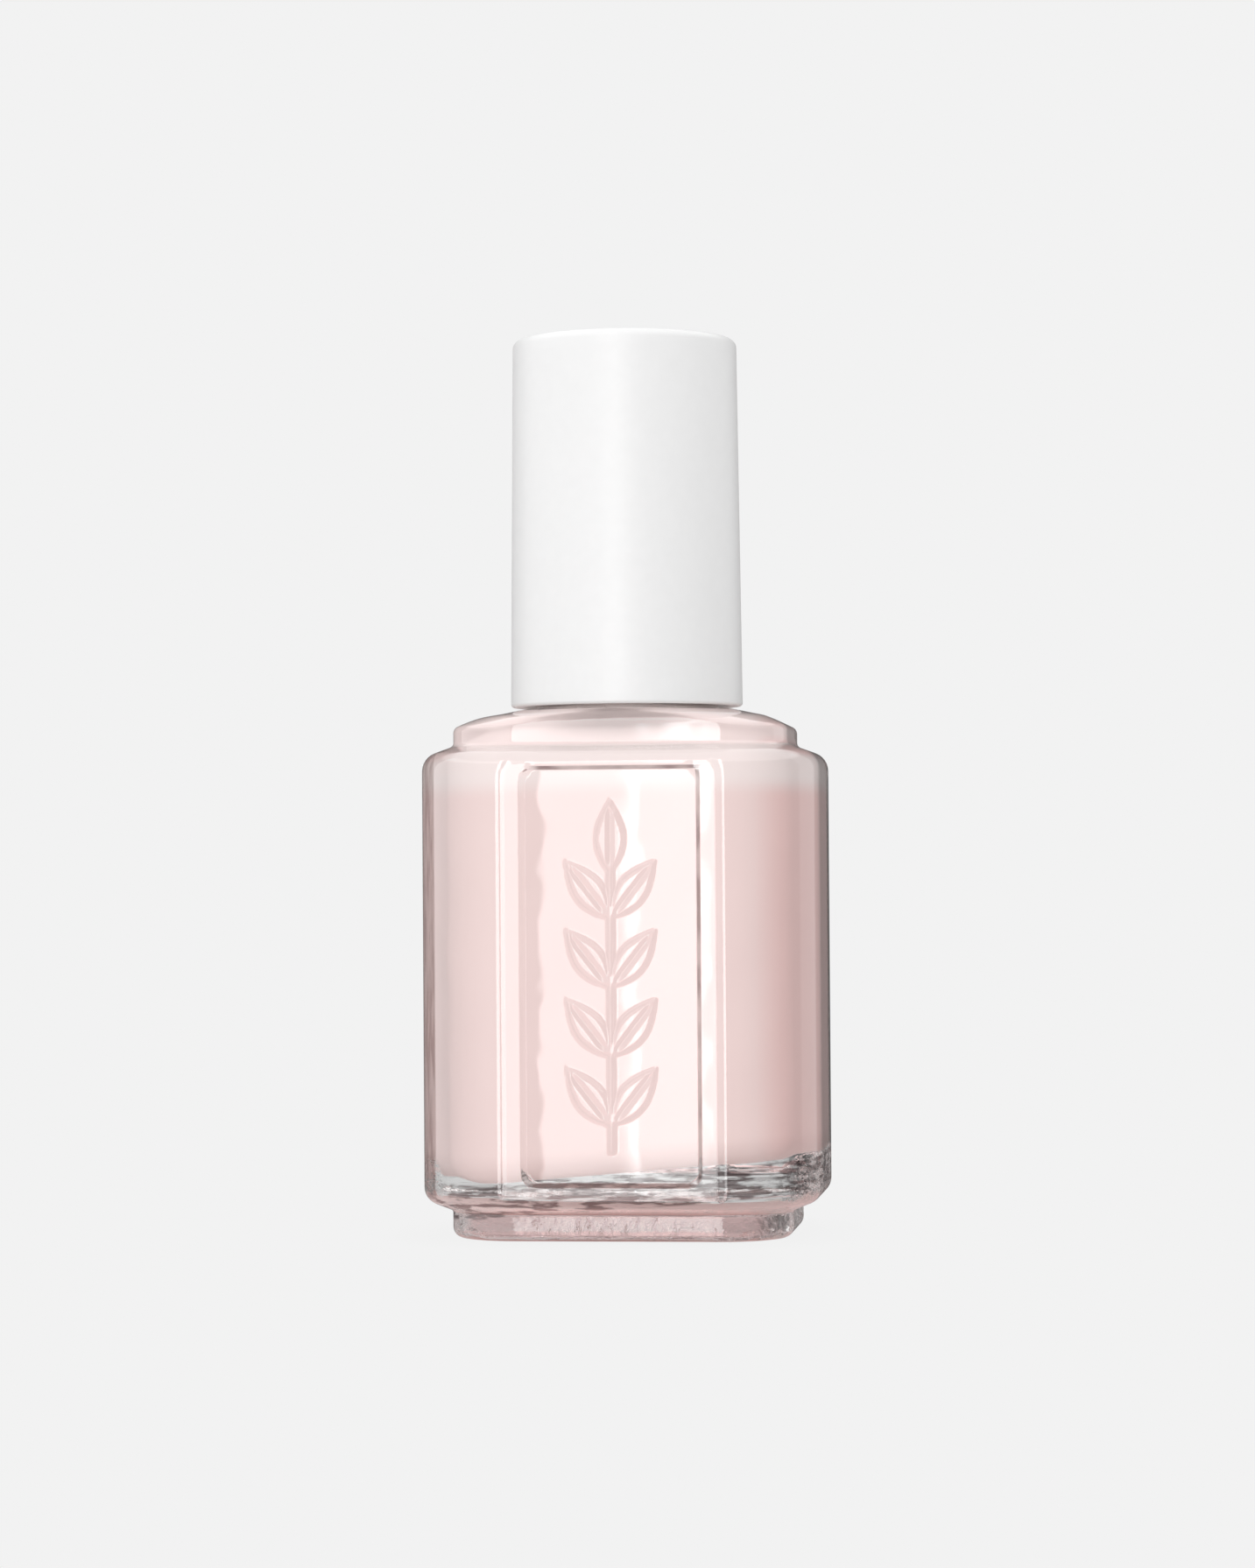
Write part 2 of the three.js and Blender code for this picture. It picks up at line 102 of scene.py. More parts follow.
PANEL_A = 7.6  # half width of the recessed panels
PANEL_LOW = 5.0
PANEL_HIGH = 40.7
PANEL_DEPTH = 1.0
PANEL_CORNER = 1.2
PANEL_BEVEL = 0.36  # width of the recess's steep border
PANEL_BULGE = 0.08  # how far the middle of the recess's floor stands out
FRAME_A = 9.5  # half width of the shallow frame round the recess
FRAME_HIGH = 42.3
FRAME_DEPTH = 0.11
FRAME_CORNER = 2.6
FRAME_BEVEL = 0.5

SPRIG_LOW = 8.0
SPRIG_HIGH = 38.0
SPRIG_PAIRS = 4
LEAF_LENGTH = 6.4
LEAF_WIDTH = 2.7
LEAF_LEAN = math.radians(38)
STALK = 0.3  # half width
SPRIG_RISE = 0.42

THREAD_LEAD = 2.12
THREAD_TURNS = 1.6
THREAD_LOW = 53.6
THREAD_RISE = 0.7
THREAD_BASE = 0.62  # half the ridge's width where it meets the wall
THREAD_CREST = 0.22  # and at its crest
FEMALE_ROOT = 7.5
FEMALE_RISE = 0.65

FILL_OVERLAP = 0.05  # the fill wets the glass, so it reaches this far into it
FILL_LEVEL = 45.6


# ------------------------------------------------------------------ mesh building


def smooth_step(low, high, value):
    t = np.clip((value - low) / (high - low), 0, 1)
    return t * t * (3 - 2 * t)


def rounded(points, steps=6):
    """A polyline through [x, z, fillet radius] corners, with each corner rounded by an arc."""
    path = []
    for i, (x, z, radius) in enumerate(points):
        here = np.array([x, z], float)
        if radius <= 0 or i in (0, len(points) - 1):
            path.append(here)
            continue
        before = np.array(points[i - 1][:2], float) - here
        after = np.array(points[i + 1][:2], float) - here
        reach = min(np.linalg.norm(before), np.linalg.norm(after)) * 0.49
        before /= np.linalg.norm(before)
        after /= np.linalg.norm(after)
        half = math.acos(np.clip(before @ after, -1, 1)) / 2
        back = min(radius / math.tan(half), reach)
        radius = back * math.tan(half)
        centre = here + (before + after) / np.linalg.norm(before + after) * radius / math.sin(half)
        first = here + before * back - centre
        last = here + after * back - centre
        turn = math.atan2(first[0] * last[1] - first[1] * last[0], first @ last)
        for step in range(steps + 1):
            c, s = math.cos(turn * step / steps), math.sin(turn * step / steps)
            path.append(centre + np.array([c * first[0] - s * first[1], s * first[0] + c * first[1]]))
    return np.array(path)


def refined(path, longest):
    """The polyline with extra points, so that no stretch is longer than `longest`."""
    out = [path[0]]
    for here, there in zip(path[:-1], path[1:]):
        parts = max(1, math.ceil(np.linalg.norm(there - here) / longest))
        out += [here + (there - here) * k / parts for k in range(1, parts + 1)]
    return np.array(out)


def new_object(name, vertices, faces_of_four, faces_of_three, material):
    """A smooth-shaded mesh object from millimetre points."""
    mesh = bpy.data.meshes.new(name)
    loops = np.concatenate([np.ravel(faces_of_four), np.ravel(faces_of_three)]).astype(np.int32)
    totals = np.repeat([4, 3], [len(faces_of_four), len(faces_of_three)]).astype(np.int32)
    mesh.vertices.add(len(vertices))
    mesh.vertices.foreach_set("co", (np.asarray(vertices) * MM).astype(np.float32).ravel())
    mesh.loops.add(len(loops))
    mesh.loops.foreach_set("vertex_index", loops)
    mesh.polygons.add(len(totals))
    mesh.polygons.foreach_set("loop_start", (np.cumsum(totals) - totals).astype(np.int32))
    mesh.polygons.foreach_set("loop_total", totals)
    mesh.update(calc_edges=True)
    mesh.validate()
    mesh.shade_smooth()
    mesh.materials.append(material)
    made = bpy.data.objects.new(name, mesh)
    bpy.context.scene.collection.objects.link(made)
    return made


def shell(name, rings, material):
    """A closed mesh through rings of points (rings, columns, 3), with a fan of triangles at each end."""
    rows, columns, _ = rings.shape
    vertices = np.concatenate([rings.reshape(-1, 3), [rings[0].mean(0), rings[-1].mean(0)]])
    here = np.arange(columns)
    there = (here + 1) % columns
    start = np.arange(rows - 1)[:, None] * columns
    quads = np.stack([start + here, start + there, start + columns + there, start + columns + here], -1)
    pole = rows * columns
    last = pole - columns
    low_fan = np.stack([np.full(columns, pole), there, here], -1)
    high_fan = np.stack([np.full(columns, pole + 1), last + here, last + there], -1)
    return new_object(name, vertices, quads.reshape(-1, 4), np.concatenate([low_fan, high_fan]), material)


def turned(profile, columns, radius_of=None):
    """Rings of a lathed profile of [radius, z]; radius_of(radius, z, angle) may alter the radius."""
    angle = np.linspace(0, 2 * math.pi, columns, endpoint=False)[None, :]
    radius = np.repeat(profile[:, :1], columns, 1)
    height = np.repeat(profile[:, 1:], columns, 1)
    if radius_of is not None:
        radius = radius_of(radius, height, angle)
    return np.stack([radius * np.cos(angle), radius * np.sin(angle), height], -1)


def edge_distance(a, b, r, angle):
    """Distance from the centre of a rounded rectangle to its edge; a, b: half sides, r: corner radius."""
    c, s = np.abs(np.cos(angle)), np.abs(np.sin(angle))
    core_x, core_y = a - r, b - r
    along = core_x * c + core_y * s
    corner = along + np.sqrt(np.maximum(along**2 - core_x**2 - core_y**2 + r**2, 0))
    at_side = s * a <= core_y * c
    at_front = c * b <= core_x * s
    side = a / np.maximum(c, 1e-9)
    front = b / np.maximum(s, 1e-9)
    return np.where(at_side, side, np.where(at_front, front, corner))


def ring(distance, angles, z):
    """Points at the given distances and directions from the axis, all at one height."""
    return np.stack([distance * np.cos(angles), distance * np.sin(angles), np.full(len(angles), z)], -1)


def thread_height(angle, z, low):
    """0 to 1: how far a helical ridge stands out at (angle, z). It fades in and out at its ends."""
    most = np.zeros(np.broadcast(angle, z).shape)
    for turn in range(-1, math.ceil(THREAD_TURNS) + 1):
        run = angle / (2 * math.pi) + turn
        offset = np.abs(z - (low + THREAD_LEAD * run))
        ends = smooth_step(-0.02, 0.1, run) * smooth_step(-0.02, 0.1, THREAD_TURNS - run)
        most = np.maximum(most, ends * (1 - smooth_step(THREAD_CREST, THREAD_BASE, offset)))
    return most


# ------------------------------------------------------------------ the glass


def graded(start, stop, marks, fine, coarse):
    """Points from start to stop: `fine` apart near the marks, `coarse` apart elsewhere."""
    points = [start]
    way = 1 if stop > start else -1
    while (stop - points[-1]) * way > 1e-6:
        here = points[-1]
        near = min(abs(here + way * coarse / 2 - mark) for mark in marks) < 0.3 + coarse
        points.append(here + way * min(fine if near else coarse, abs(stop - here)))
    return np.array(points)


def column_angles():
    """Directions of the glass's columns: close together across the front panel, wider elsewhere."""

    def quadrant(fine, coarse):
        core_x, core_y = BODY_A - BODY_R, BODY_B - BODY_R
        side = [(BODY_A, y) for y in np.linspace(0, core_y, 6)[:-1]]
        arc = np.concatenate([np.linspace(0, 1.35, 20), np.linspace(1.35, math.pi / 2, 8)[1:-1]])
        corner = [(core_x + BODY_R * math.cos(t), core_y + BODY_R * math.sin(t)) for t in arc]
        flat = [(x, BODY_B) for x in graded(core_x, 0, (PANEL_A,), fine, coarse)]
        points = np.array(side + corner + flat)
        return np.arctan2(points[:, 1], points[:, 0])

    back, front = quadrant(0.08, 0.4), quadrant(0.045, 0.14)
    return np.concatenate(
        [back[:-1], math.pi - back[:0:-1], math.pi + front[:-1], 2 * math.pi - front[:0:-1]]
    )


ANGLES = column_angles()


def body_section(x):
    inset = BODY_A - x
    return BODY_B - inset, np.maximum(BODY_R - inset, 0.5)


def dome_section(x):
    """From the upper step's rounded rectangle to a circle of radius DOME_R."""
    step_b, step_r = body_section(STEP_A)
    blend = smooth_step(0, 1, (STEP_A - x) / (STEP_A - DOME_R))
    return step_b + (DOME_R - step_b) * blend, step_r + (DOME_R - step_r) * blend


def chamber_section(x, grow):
    away = CHAMBER_A + grow - x
    return CHAMBER_B + grow - away, np.maximum(CHAMBER_R + grow - away, 0.6)


def chamber_shoulder_section(x, grow):
    bore = BORE_R + grow
    blend = np.clip((CHAMBER_A + grow - x) / (CHAMBER_A + grow - bore), 0, 1)
    return CHAMBER_B + grow + (bore - CHAMBER_B - grow) * blend, CHAMBER_R + (bore - CHAMBER_R) * blend


def round_section(x):
    return x, x


def rings_from(path, section):
    """Rings of the glass along a path of [half width, z]."""
    return np.array([ring(edge_distance(x, *section(x), ANGLES), ANGLES, z) for x, z in path])


def outside_path():
    """Foot, wall and shoulder up to the top of the step; then the dome; then the neck up to the lip."""
    body = rounded(
        [
            (RING_INNER - 0.9, BASE_HOLLOW, 0),
            (RING_INNER - 0.6, BASE_HOLLOW, 0.2),
            (RING_INNER, 0, 0.25),
            (FOOT_A, 0, 0.9),
            (FOOT_A, 2.35, 0.35),
            (BODY_A, WALL_FOOT, 1.5),
            (BODY_A, WALL_TOP, 1.7),
            (STEP_A, STEP_FOOT, 0.5),
            (STEP_A, STEP_TOP - 0.9, 0),
        ]
    )
    dome = rounded(
        [
            (STEP_A, STEP_TOP - 0.9, 0),
            (STEP_A, STEP_TOP, 0.9),
            (12.6, 45.35, 5),
            (DOME_R, DOME_HIGH, 0),
        ]
    )
    neck = rounded(
        [
            (DOME_R, DOME_HIGH, 0),
            (BEAD_R, NECK_FOOT, 0.3),
            (BEAD_R, BEAD_HIGH, 0.25),
            (NECK_R, NECK_LOW, 0.3),
            (NECK_R, LIP, 0.6),
            (BORE_R, LIP, 0.4),
            (BORE_R, NECK_LOW, 0),
        ]
    )
    return body, dome, neck


def inside_path(grow=0.0):
    """The chamber from the bore down to the middle of its floor, grown outwards by `grow`."""
    wall, floor, bore = CHAMBER_A + grow, CHAMBER_FLOOR - grow, BORE_R + grow
    shoulder = rounded(
        [
            (bore, NECK_LOW, 0),
            (bore, 46.2, 1.0),
            (7.2 + grow, 45.1 + grow, 3),
            (11.2 + grow, 43.9 + grow, 4),
            (wall, 41.4, 3),
            (wall, CHAMBER_HIGH, 0),
        ]
    )
    lower = rounded([(wall, CHAMBER_HIGH, 0), (wall, floor, FLOOR_FILLET), (6.0, floor, 0)], steps=14)
    return shoulder, lower


def tilted_floor(rings):
    """Glass settles unevenly in the mould, so the chamber's floor isn't quite level."""
    tilted = rings.copy()
    low = 1 - smooth_step(CHAMBER_FLOOR, CHAMBER_FLOOR + 12, rings[..., 2])
    tilted[..., 2] += low * FLOOR_TILT * rings[..., 0]
    return tilted


def leaf_rise(x, z, foot_z, lean):
    """Height of a domed leaf with a sunk midrib, that starts on the stalk and leans from upright."""
    c, s = math.cos(lean), math.sin(lean)
    along = (s * x + c * (z - foot_z)) / LEAF_LENGTH
    across = np.abs(c * x - s * (z - foot_z))
    half_width = LEAF_WIDTH / 2 * np.sin(math.pi * np.clip(along, 0, 1) ** 0.9)
    edge = smooth_step(0, 0.3, half_width - across)
    rib = 0.55 * (1 - smooth_step(0.05, 0.3, across)) * smooth_step(0.08, 0.2, along)
    return edge * (1 - rib * (1 - smooth_step(0.8, 0.95, along)))


def sprig_rise(x, z):
    """The moulded ornament, from 0 to 1: an upright stalk, pairs of leaves and one leaf at the tip."""
    stalk_high = SPRIG_HIGH - LEAF_LENGTH
    beyond = np.maximum(np.maximum(SPRIG_LOW - z, z - stalk_high), 0)
    rise = 1 - smooth_step(STALK * 0.4, STALK * 1.2, np.hypot(x, beyond))
    rise = np.maximum(rise, leaf_rise(x, z, stalk_high, 0))
    spacing = (stalk_high - SPRIG_LOW) / SPRIG_PAIRS
    for pair in range(SPRIG_PAIRS):
        foot = SPRIG_LOW + spacing * (pair + 0.35)
        for side in (-1, 1):
            rise = np.maximum(rise, leaf_rise(x, z, foot, side * LEAF_LEAN))
    return rise


def sunk_share(x, z, half_width, low, high, corner, bevel):
    """1 inside an upright rounded rectangle, 0 outside it, with a straight slope between."""
    over_x = np.abs(x) - half_width + corner
    over_z = np.abs(z - (low + high) / 2) - (high - low) / 2 + corner
    beyond = np.hypot(np.maximum(over_x, 0), np.maximum(over_z, 0))
    outside = beyond + np.minimum(np.maximum(over_x, over_z), 0) - corner
    return np.clip(0.5 - outside / bevel, 0, 1)


def with_panels(rings):
    """Presses the panels and their frames into the front and back and raises the sprig."""
    x, y, z = rings[..., 0], rings[..., 1], rings[..., 2]
    panel = sunk_share(x, z, PANEL_A, PANEL_LOW, PANEL_HIGH, PANEL_CORNER, PANEL_BEVEL)
    border = sunk_share(x, z, FRAME_A, 0, FRAME_HIGH, FRAME_CORNER, FRAME_BEVEL)
    bulge = PANEL_BULGE * (1 - (x / PANEL_A) ** 2)
    sunk = (PANEL_DEPTH - FRAME_DEPTH - bulge) * panel + FRAME_DEPTH * border * smooth_step(3.4, 4.4, z)
    pressed = rings.copy()
    pressed[..., 1] = y - np.sign(y) * np.where(np.abs(y) > BODY_B / 2, sunk, 0)
    near = (y < 0) & (np.abs(x) < PANEL_A) & (z > PANEL_LOW) & (z < PANEL_HIGH)
    pressed[..., 1] -= np.where(near, SPRIG_RISE * sprig_rise(x, z), 0)
    return pressed


def ripple(rings, amount, wavelength):
    """Small smooth unevenness of moulded glass, along each ring's outward direction."""
    x, y, z = (rings[..., k] / wavelength for k in range(3))
    wave = (
        np.sin(2.1 * x + 1.3 * z + 0.7) * np.sin(1.7 * y - 0.9 * z)
        + 0.6 * np.sin(3.7 * z + 1.9 * x * y + 2.1)
        + 0.5 * np.sin(5.3 * x - 2.9 * z) * np.sin(4.1 * y + 0.4)
    )
    away = np.hypot(rings[..., 0], rings[..., 1])
    scale = 1 + amount * wave / np.maximum(away, 3)
    out = rings.copy()
    out[..., 0] *= scale
    out[..., 1] *= scale
    return out


def chamber_floor(lower, grow):
    """Rings of the chamber's upright walls and floor, a little uneven."""
    level = rings_from(refined(lower, 0.8)[1:], lambda x: chamber_section(x, grow))
    return tilted_floor(ripple(level, 0.05, 6.0))


def glass_rings():
    """The whole glass: out under the base, up the outside, over the lip and down inside."""
    body, dome, neck = outside_path()
    rows = []
    for here, there in zip(body[:-1], body[1:]):
        rows.append(here)
        climb = there[1] - here[1]
        if climb > 1:
            heights = graded(here[1], there[1], (PANEL_LOW, PANEL_HIGH), 0.05, 0.16)[1:-1]
            rows += [here + (there - here) * (z - here[1]) / climb for z in heights]
    rows.append(body[-1])
    rows = refined(np.array(rows), 0.5)
    outer = with_panels(rings_from(rows, body_section))
    crown = rings_from(refined(dome, 0.5)[1:], dome_section)
    neck_rows = rings_from(refined(neck, 0.14)[1:], round_section)
    outside_neck = np.hypot(neck_rows[..., 0], neck_rows[..., 1]) > (NECK_R + BORE_R) / 2
    ridge = thread_height(ANGLES[None, :], neck_rows[..., 2], THREAD_LOW)
    grow = 1 + np.where(outside_neck, ridge * THREAD_RISE, 0) / NECK_R
    neck_rows[..., 0] *= grow
    neck_rows[..., 1] *= grow
    shoulder, lower = inside_path()
    hollow = [
        rings_from(refined(shoulder, 0.5)[1:], lambda x: chamber_shoulder_section(x, 0)),
        chamber_floor(lower, 0),
    ]
    return np.concatenate([outer, crown, neck_rows, *hollow])


def fill_rings():
    """The fill from the chamber's floor up to its slightly dished surface."""
    shoulder, lower = inside_path(FILL_OVERLAP)
    upper = rings_from(refined(shoulder, 0.5), lambda x: chamber_shoulder_section(x, FILL_OVERLAP))
    rings = np.concatenate([upper, chamber_floor(lower, FILL_OVERLAP)])[::-1]
    rings = rings[rings[:, 0, 2] < FILL_LEVEL]
    rim = rings[-1]
    surface = []
    for share, drop in ((0.97, 0.06), (0.9, 0.14), (0.75, 0.2), (0.4, 0.22)):
        level = rim * np.array([share, share, 1])
        level[:, 2] -= drop
        surface.append(level)
    return np.concatenate([rings, np.array(surface)])


# ------------------------------------------------------------------ materials


def add(tree, kind, inputs=None, **attributes):
    """A node with its attributes and inputs set; an input may be a value or another node's output."""
    made = tree.nodes.new(kind)
    for key, value in attributes.items():
        setattr(made, key, value)
    for key, value in (inputs or {}).items():
        if isinstance(value, bpy.types.NodeSocket):
            tree.links.new(value, made.inputs[key])
        else:
            made.inputs[key].default_value = value
    return made


def new_material(name):
    made = bpy.data.materials.new(name)
    made.use_nodes = True
    made.node_tree.nodes.clear()
    return made, made.node_tree


def finish_material(tree, shader):
    add(tree, "ShaderNodeOutputMaterial", {"Surface": shader})


def principled(tree, looks):
    return add(tree, "ShaderNodeBsdfPrincipled", looks).outputs["BSDF"]


def place(tree):
    """Object coordinates in metres, which are the frame's own."""
    return add(tree, "ShaderNodeTexCoord").outputs["Object"]


def axes(tree, vector):
    """The X, Y and Z outputs of a vector."""
    return add(tree, "ShaderNodeSeparateXYZ", {"Vector": vector}).outputs


def noise(tree, scale, detail=3.0, where=None):
    """Noise between 0 and 1; scale is features per metre."""
    vector = where if where is not None else place(tree)
    made = add(tree, "ShaderNodeTexNoise", {"Vector": vector, "Scale": scale, "Detail": detail})
    return made.outputs["Fac"]


def between(tree, value, from_low, from_high, to_low, to_high, smooth=False):
    kind = "SMOOTHSTEP" if smooth else "LINEAR"
    names = ("Value", "From Min", "From Max", "To Min", "To Max")
    inputs = dict(zip(names, (value, from_low, from_high, to_low, to_high)))
    return add(tree, "ShaderNodeMapRange", inputs, interpolation_type=kind).outputs["Result"]


def maths(tree, operation, *values):
    inputs = dict(enumerate(values))
    return add(tree, "ShaderNodeMath", inputs, operation=operation).outputs[0]


def times(tree, *factors):
    product = factors[0]
    for factor in factors[1:]:
        product = maths(tree, "MULTIPLY", product, factor)
    return product


def window(tree, value, low, high, soft):
    """1 where the value lies between low and high, falling to 0 over `soft` outside them."""
    rising = between(tree, value, low - soft, low, 0.0, 1.0, smooth=True)
    falling = between(tree, value, high, high + soft, 1.0, 0.0, smooth=True)
    return times(tree, rising, falling)


def band(tree, value, low, high, soft):
    """A window given in millimetres on a coordinate in metres."""
    return window(tree, value, low * MM, high * MM, soft * MM)


def stretched(tree, scale):
    return add(tree, "ShaderNodeVectorMath", {0: place(tree), 1: scale}, operation="MULTIPLY").outputs[0]


def mix_value(tree, factor, first, second):
    made = add(tree, "ShaderNodeMix", data_type="FLOAT")
    for socket, value in zip((made.inputs[0], made.inputs[2], made.inputs[3]), (factor, first, second)):
        if isinstance(value, bpy.types.NodeSocket):
            tree.links.new(value, socket)
        else:
            socket.default_value = value
    return made.outputs[0]


def mix_colour(tree, factor, first, second):
    made = add(tree, "ShaderNodeMix", data_type="RGBA")
    for socket, value in ((made.inputs[0], factor), (made.inputs[6], first), (made.inputs[7], second)):
        if isinstance(value, bpy.types.NodeSocket):
            tree.links.new(value, socket)
        else:
            socket.default_value = value
    return made.outputs[2]


def bump(tree, height, strength, distance):
    inputs = {"Height": height, "Strength": strength, "Distance": distance}
    return add(tree, "ShaderNodeBump", inputs).outputs["Normal"]


def rgb(red, green, blue):
    """sRGB 0 to 255 to a linear colour."""
    shares = (red / 255, green / 255, blue / 255)
    return (*(c / 12.92 if c < 0.04 else ((c + 0.055) / 1.055) ** 2.4 for c in shares), 1.0)


OUTSIDE = 18.0  # beyond the glass on every side
HEEL_LOW = 3.0  # the thick glass under the chamber, above the foot
FOOT_HIGH = 2.4
CORNER_SHADE_X, CORNER_SHADE_Y = -15.7, -6.4  # painted shade covers the front left corner outside these
CLEAR_GLASS = (0.975, 0.98, 0.975, 1)
# painted reflection: the fill's pink mirrored inside the foot
PAINTED_FOOT_REFLECTION = (0.8, 0.58, 0.57, 1)
# painted shade: the dark grey of the heel's streaks and of the panels' border lines
PAINTED_SHADE_GREY = (0.12, 0.09, 0.09, 1)
# painted shade on the front left corner
PAINTED_CORNER_SHADE = (0.36, 0.29, 0.28, 1)


def glass_tint(tree, split):
    """Clear, with painted shade and a painted reflection: dark lines at the panels' right and top borders,
    dark streaks in the heel, the fill's pink mirrored in the foot, shade on the front left corner.
    """
    x, y, z = split["X"], split["Y"], split["Z"]
    slope = PANEL_BEVEL / 2
    uneven = between(tree, noise(tree, 220.0), 0.35, 0.6, 0.45, 1.0)
    # painted shade: a dark line along the recess's right and top borders, the sides turned from the light
    border = band(tree, x, PANEL_A - slope, PANEL_A + slope, 0.03)
    right = times(tree, border, band(tree, z, PANEL_LOW + 0.2, PANEL_HIGH - 0.3, 0.2))
    across = band(tree, x, -6.0, PANEL_A - 0.2, 1.2)
    top = times(tree, across, band(tree, z, PANEL_HIGH - 0.14, PANEL_HIGH + 0.14, 0.03))
    painted_crease_shade = times(tree, maths(tree, "MAXIMUM", right, top), uneven)
    above_floor = maths(tree, "SUBTRACT", z, times(tree, x, FLOOR_TILT))
    # painted shade: dark streaks in the thick heel, standing in for dark surroundings seen through it
    painted_heel_streaks = between(tree, noise(tree, 380.0, 5.0, stretched(tree, (1, 1, 6))), 0.45, 0.55, 0.0, 1.0)
    heel = times(tree, band(tree, above_floor, HEEL_LOW, CHAMBER_FLOOR - 0.15, 0.3), painted_heel_streaks)
    # painted reflection: pink in the foot, standing in for the fill mirrored there
    foot = times(tree, band(tree, z, -1.0, FOOT_HIGH, 0.4), band(tree, x, -12.0, 12.0, 2.0))
    # painted shade in streaks on the front left corner, standing in for the dark edge band
    painted_shade_veins = between(tree, noise(tree, 500.0, 3.0, stretched(tree, (3, 3, 0.4))), 0.4, 0.6, 0.55, 1.0)
    corner = times(tree, band(tree, x, -OUTSIDE, CORNER_SHADE_X, 0.06), band(tree, y, -OUTSIDE, CORNER_SHADE_Y, 0.6))
    corner = times(tree, corner, band(tree, z, 4.5, WALL_TOP - 0.3, 2.0), painted_shade_veins)
    tint = mix_colour(tree, foot, CLEAR_GLASS, PAINTED_FOOT_REFLECTION)
    tint = mix_colour(tree, heel, tint, PAINTED_SHADE_GREY)
    tint = mix_colour(tree, corner, tint, PAINTED_CORNER_SHADE)
    # painted shade last: the dark lines at the panels' borders
    return mix_colour(tree, painted_crease_shade, tint, PAINTED_SHADE_GREY)


def glass_material():
    """Clear flint glass. Lamp rays pass straight through, so that the fill behind it is lit without noise."""
    material, tree = new_material("clear_glass")
    split = axes(tree, place(tree))
    low = between(tree, split["Z"], 6.2 * MM, 7.8 * MM, 1.0, 0.0, smooth=True)
    behind = between(tree, split["Y"], -11.8 * MM, -10.0 * MM, 0.0, 1.0, smooth=True)
    heel = maths(tree, "MULTIPLY", low, behind)
    stipple = between(tree, noise(tree, 650.0, 4.0), 0.0, 1.0, 0.0, 0.0003)
    stippled = maths(tree, "MULTIPLY", heel, stipple)
    swell = between(tree, noise(tree, 140.0, 2.0), 0.0, 1.0, 0.0, 0.00002)
    waves = bump(tree, maths(tree, "ADD", stippled, swell), 1.0, 1.0)
    looks = {
        "Base Color": glass_tint(tree, split),
        "Roughness": between(tree, noise(tree, 500.0), 0.3, 0.7, 0.0, 0.02),
        "IOR": 1.52,
        "Transmission Weight": 1.0,
        "Normal": waves,
    }
    body = principled(tree, looks)
    clear = add(tree, "ShaderNodeBsdfTransparent", {"Color": (0.97, 0.975, 0.97, 1)}).outputs["BSDF"]
    path = add(tree, "ShaderNodeLightPath").outputs
    straight = maths(tree, "MAXIMUM", path["Is Shadow Ray"], path["Is Diffuse Ray"])
    finish_material(tree, add(tree, "ShaderNodeMixShader", {0: straight, 1: body, 2: clear}).outputs[0])
    return material


def fill_material():
    """Opaque pale pink lacquer; a painted highlight makes it whiter in a band high up and lighter above it,
    and painted shade makes it a little deeper along the +X side.
    """
    material, tree = new_material("pink_polish")
    drift = noise(tree, 60.0, 2.0)
    pink = mix_colour(tree, drift, rgb(241, 215, 213), rgb(243, 218, 215))
    painted_highlight_pink = mix_colour(tree, drift, rgb(246, 230, 228), rgb(247, 232, 230))
    split = axes(tree, place(tree))
    wander = between(tree, noise(tree, 35.0), 0, 1, -0.4 * MM, 0.4 * MM)
    height = maths(tree, "ADD", split["Z"], wander)
    # painted highlight: a whiter band high on the wall and a lighter shoulder above it
    share = band(tree, height, 40.0, 40.4, 2.0)
    above = between(tree, height, 40.6 * MM, 41.8 * MM, 0.0, 1.0, smooth=True)
    # painted shade: a deeper pink along the +X side, turned away from the key light
    right = between(tree, split["X"], 11.2 * MM, 12.8 * MM, 0.0, 1.0)
    pink = mix_colour(tree, above, pink, mix_colour(tree, drift, rgb(243, 222, 220), rgb(244, 224, 222)))
    pink = mix_colour(tree, right, pink, rgb(242, 206, 203))
    looks = {
        "Base Color": mix_colour(tree, share, pink, painted_highlight_pink),
        "Roughness": 0.3,
        "Specular IOR Level": 0.15,
    }
    finish_material(tree, principled(tree, looks))
    return material


def plastic_material(
    name, colour, low_rough, high_rough, grain=900.0, depth=0.00001, coat=0.0, subsurface=0.0
):
    """Moulded plastic: faint mottling, uneven gloss and a fine moulded grain."""
    material, tree = new_material(name)
    mottle = between(tree, noise(tree, 900.0, 4.0), 0.3, 0.7, 0.0, 1.0)
    darker = tuple(c * 0.985 for c in colour[:3]) + (1.0,)
    looks = {
        "Base Color": mix_colour(tree, mottle, darker, colour),
        "Roughness": between(tree, noise(tree, 1200.0, 3.0), 0.3, 0.7, low_rough, high_rough),
        "Coat Weight": coat,
        "Coat Roughness": 0.3,
        "Subsurface Weight": subsurface,
        "Subsurface Radius": (0.0012, 0.0011, 0.001),
        "Normal": bump(tree, noise(tree, grain, 2.0), 0.3, depth),
    }
    finish_material(tree, principled(tree, looks))
    return material


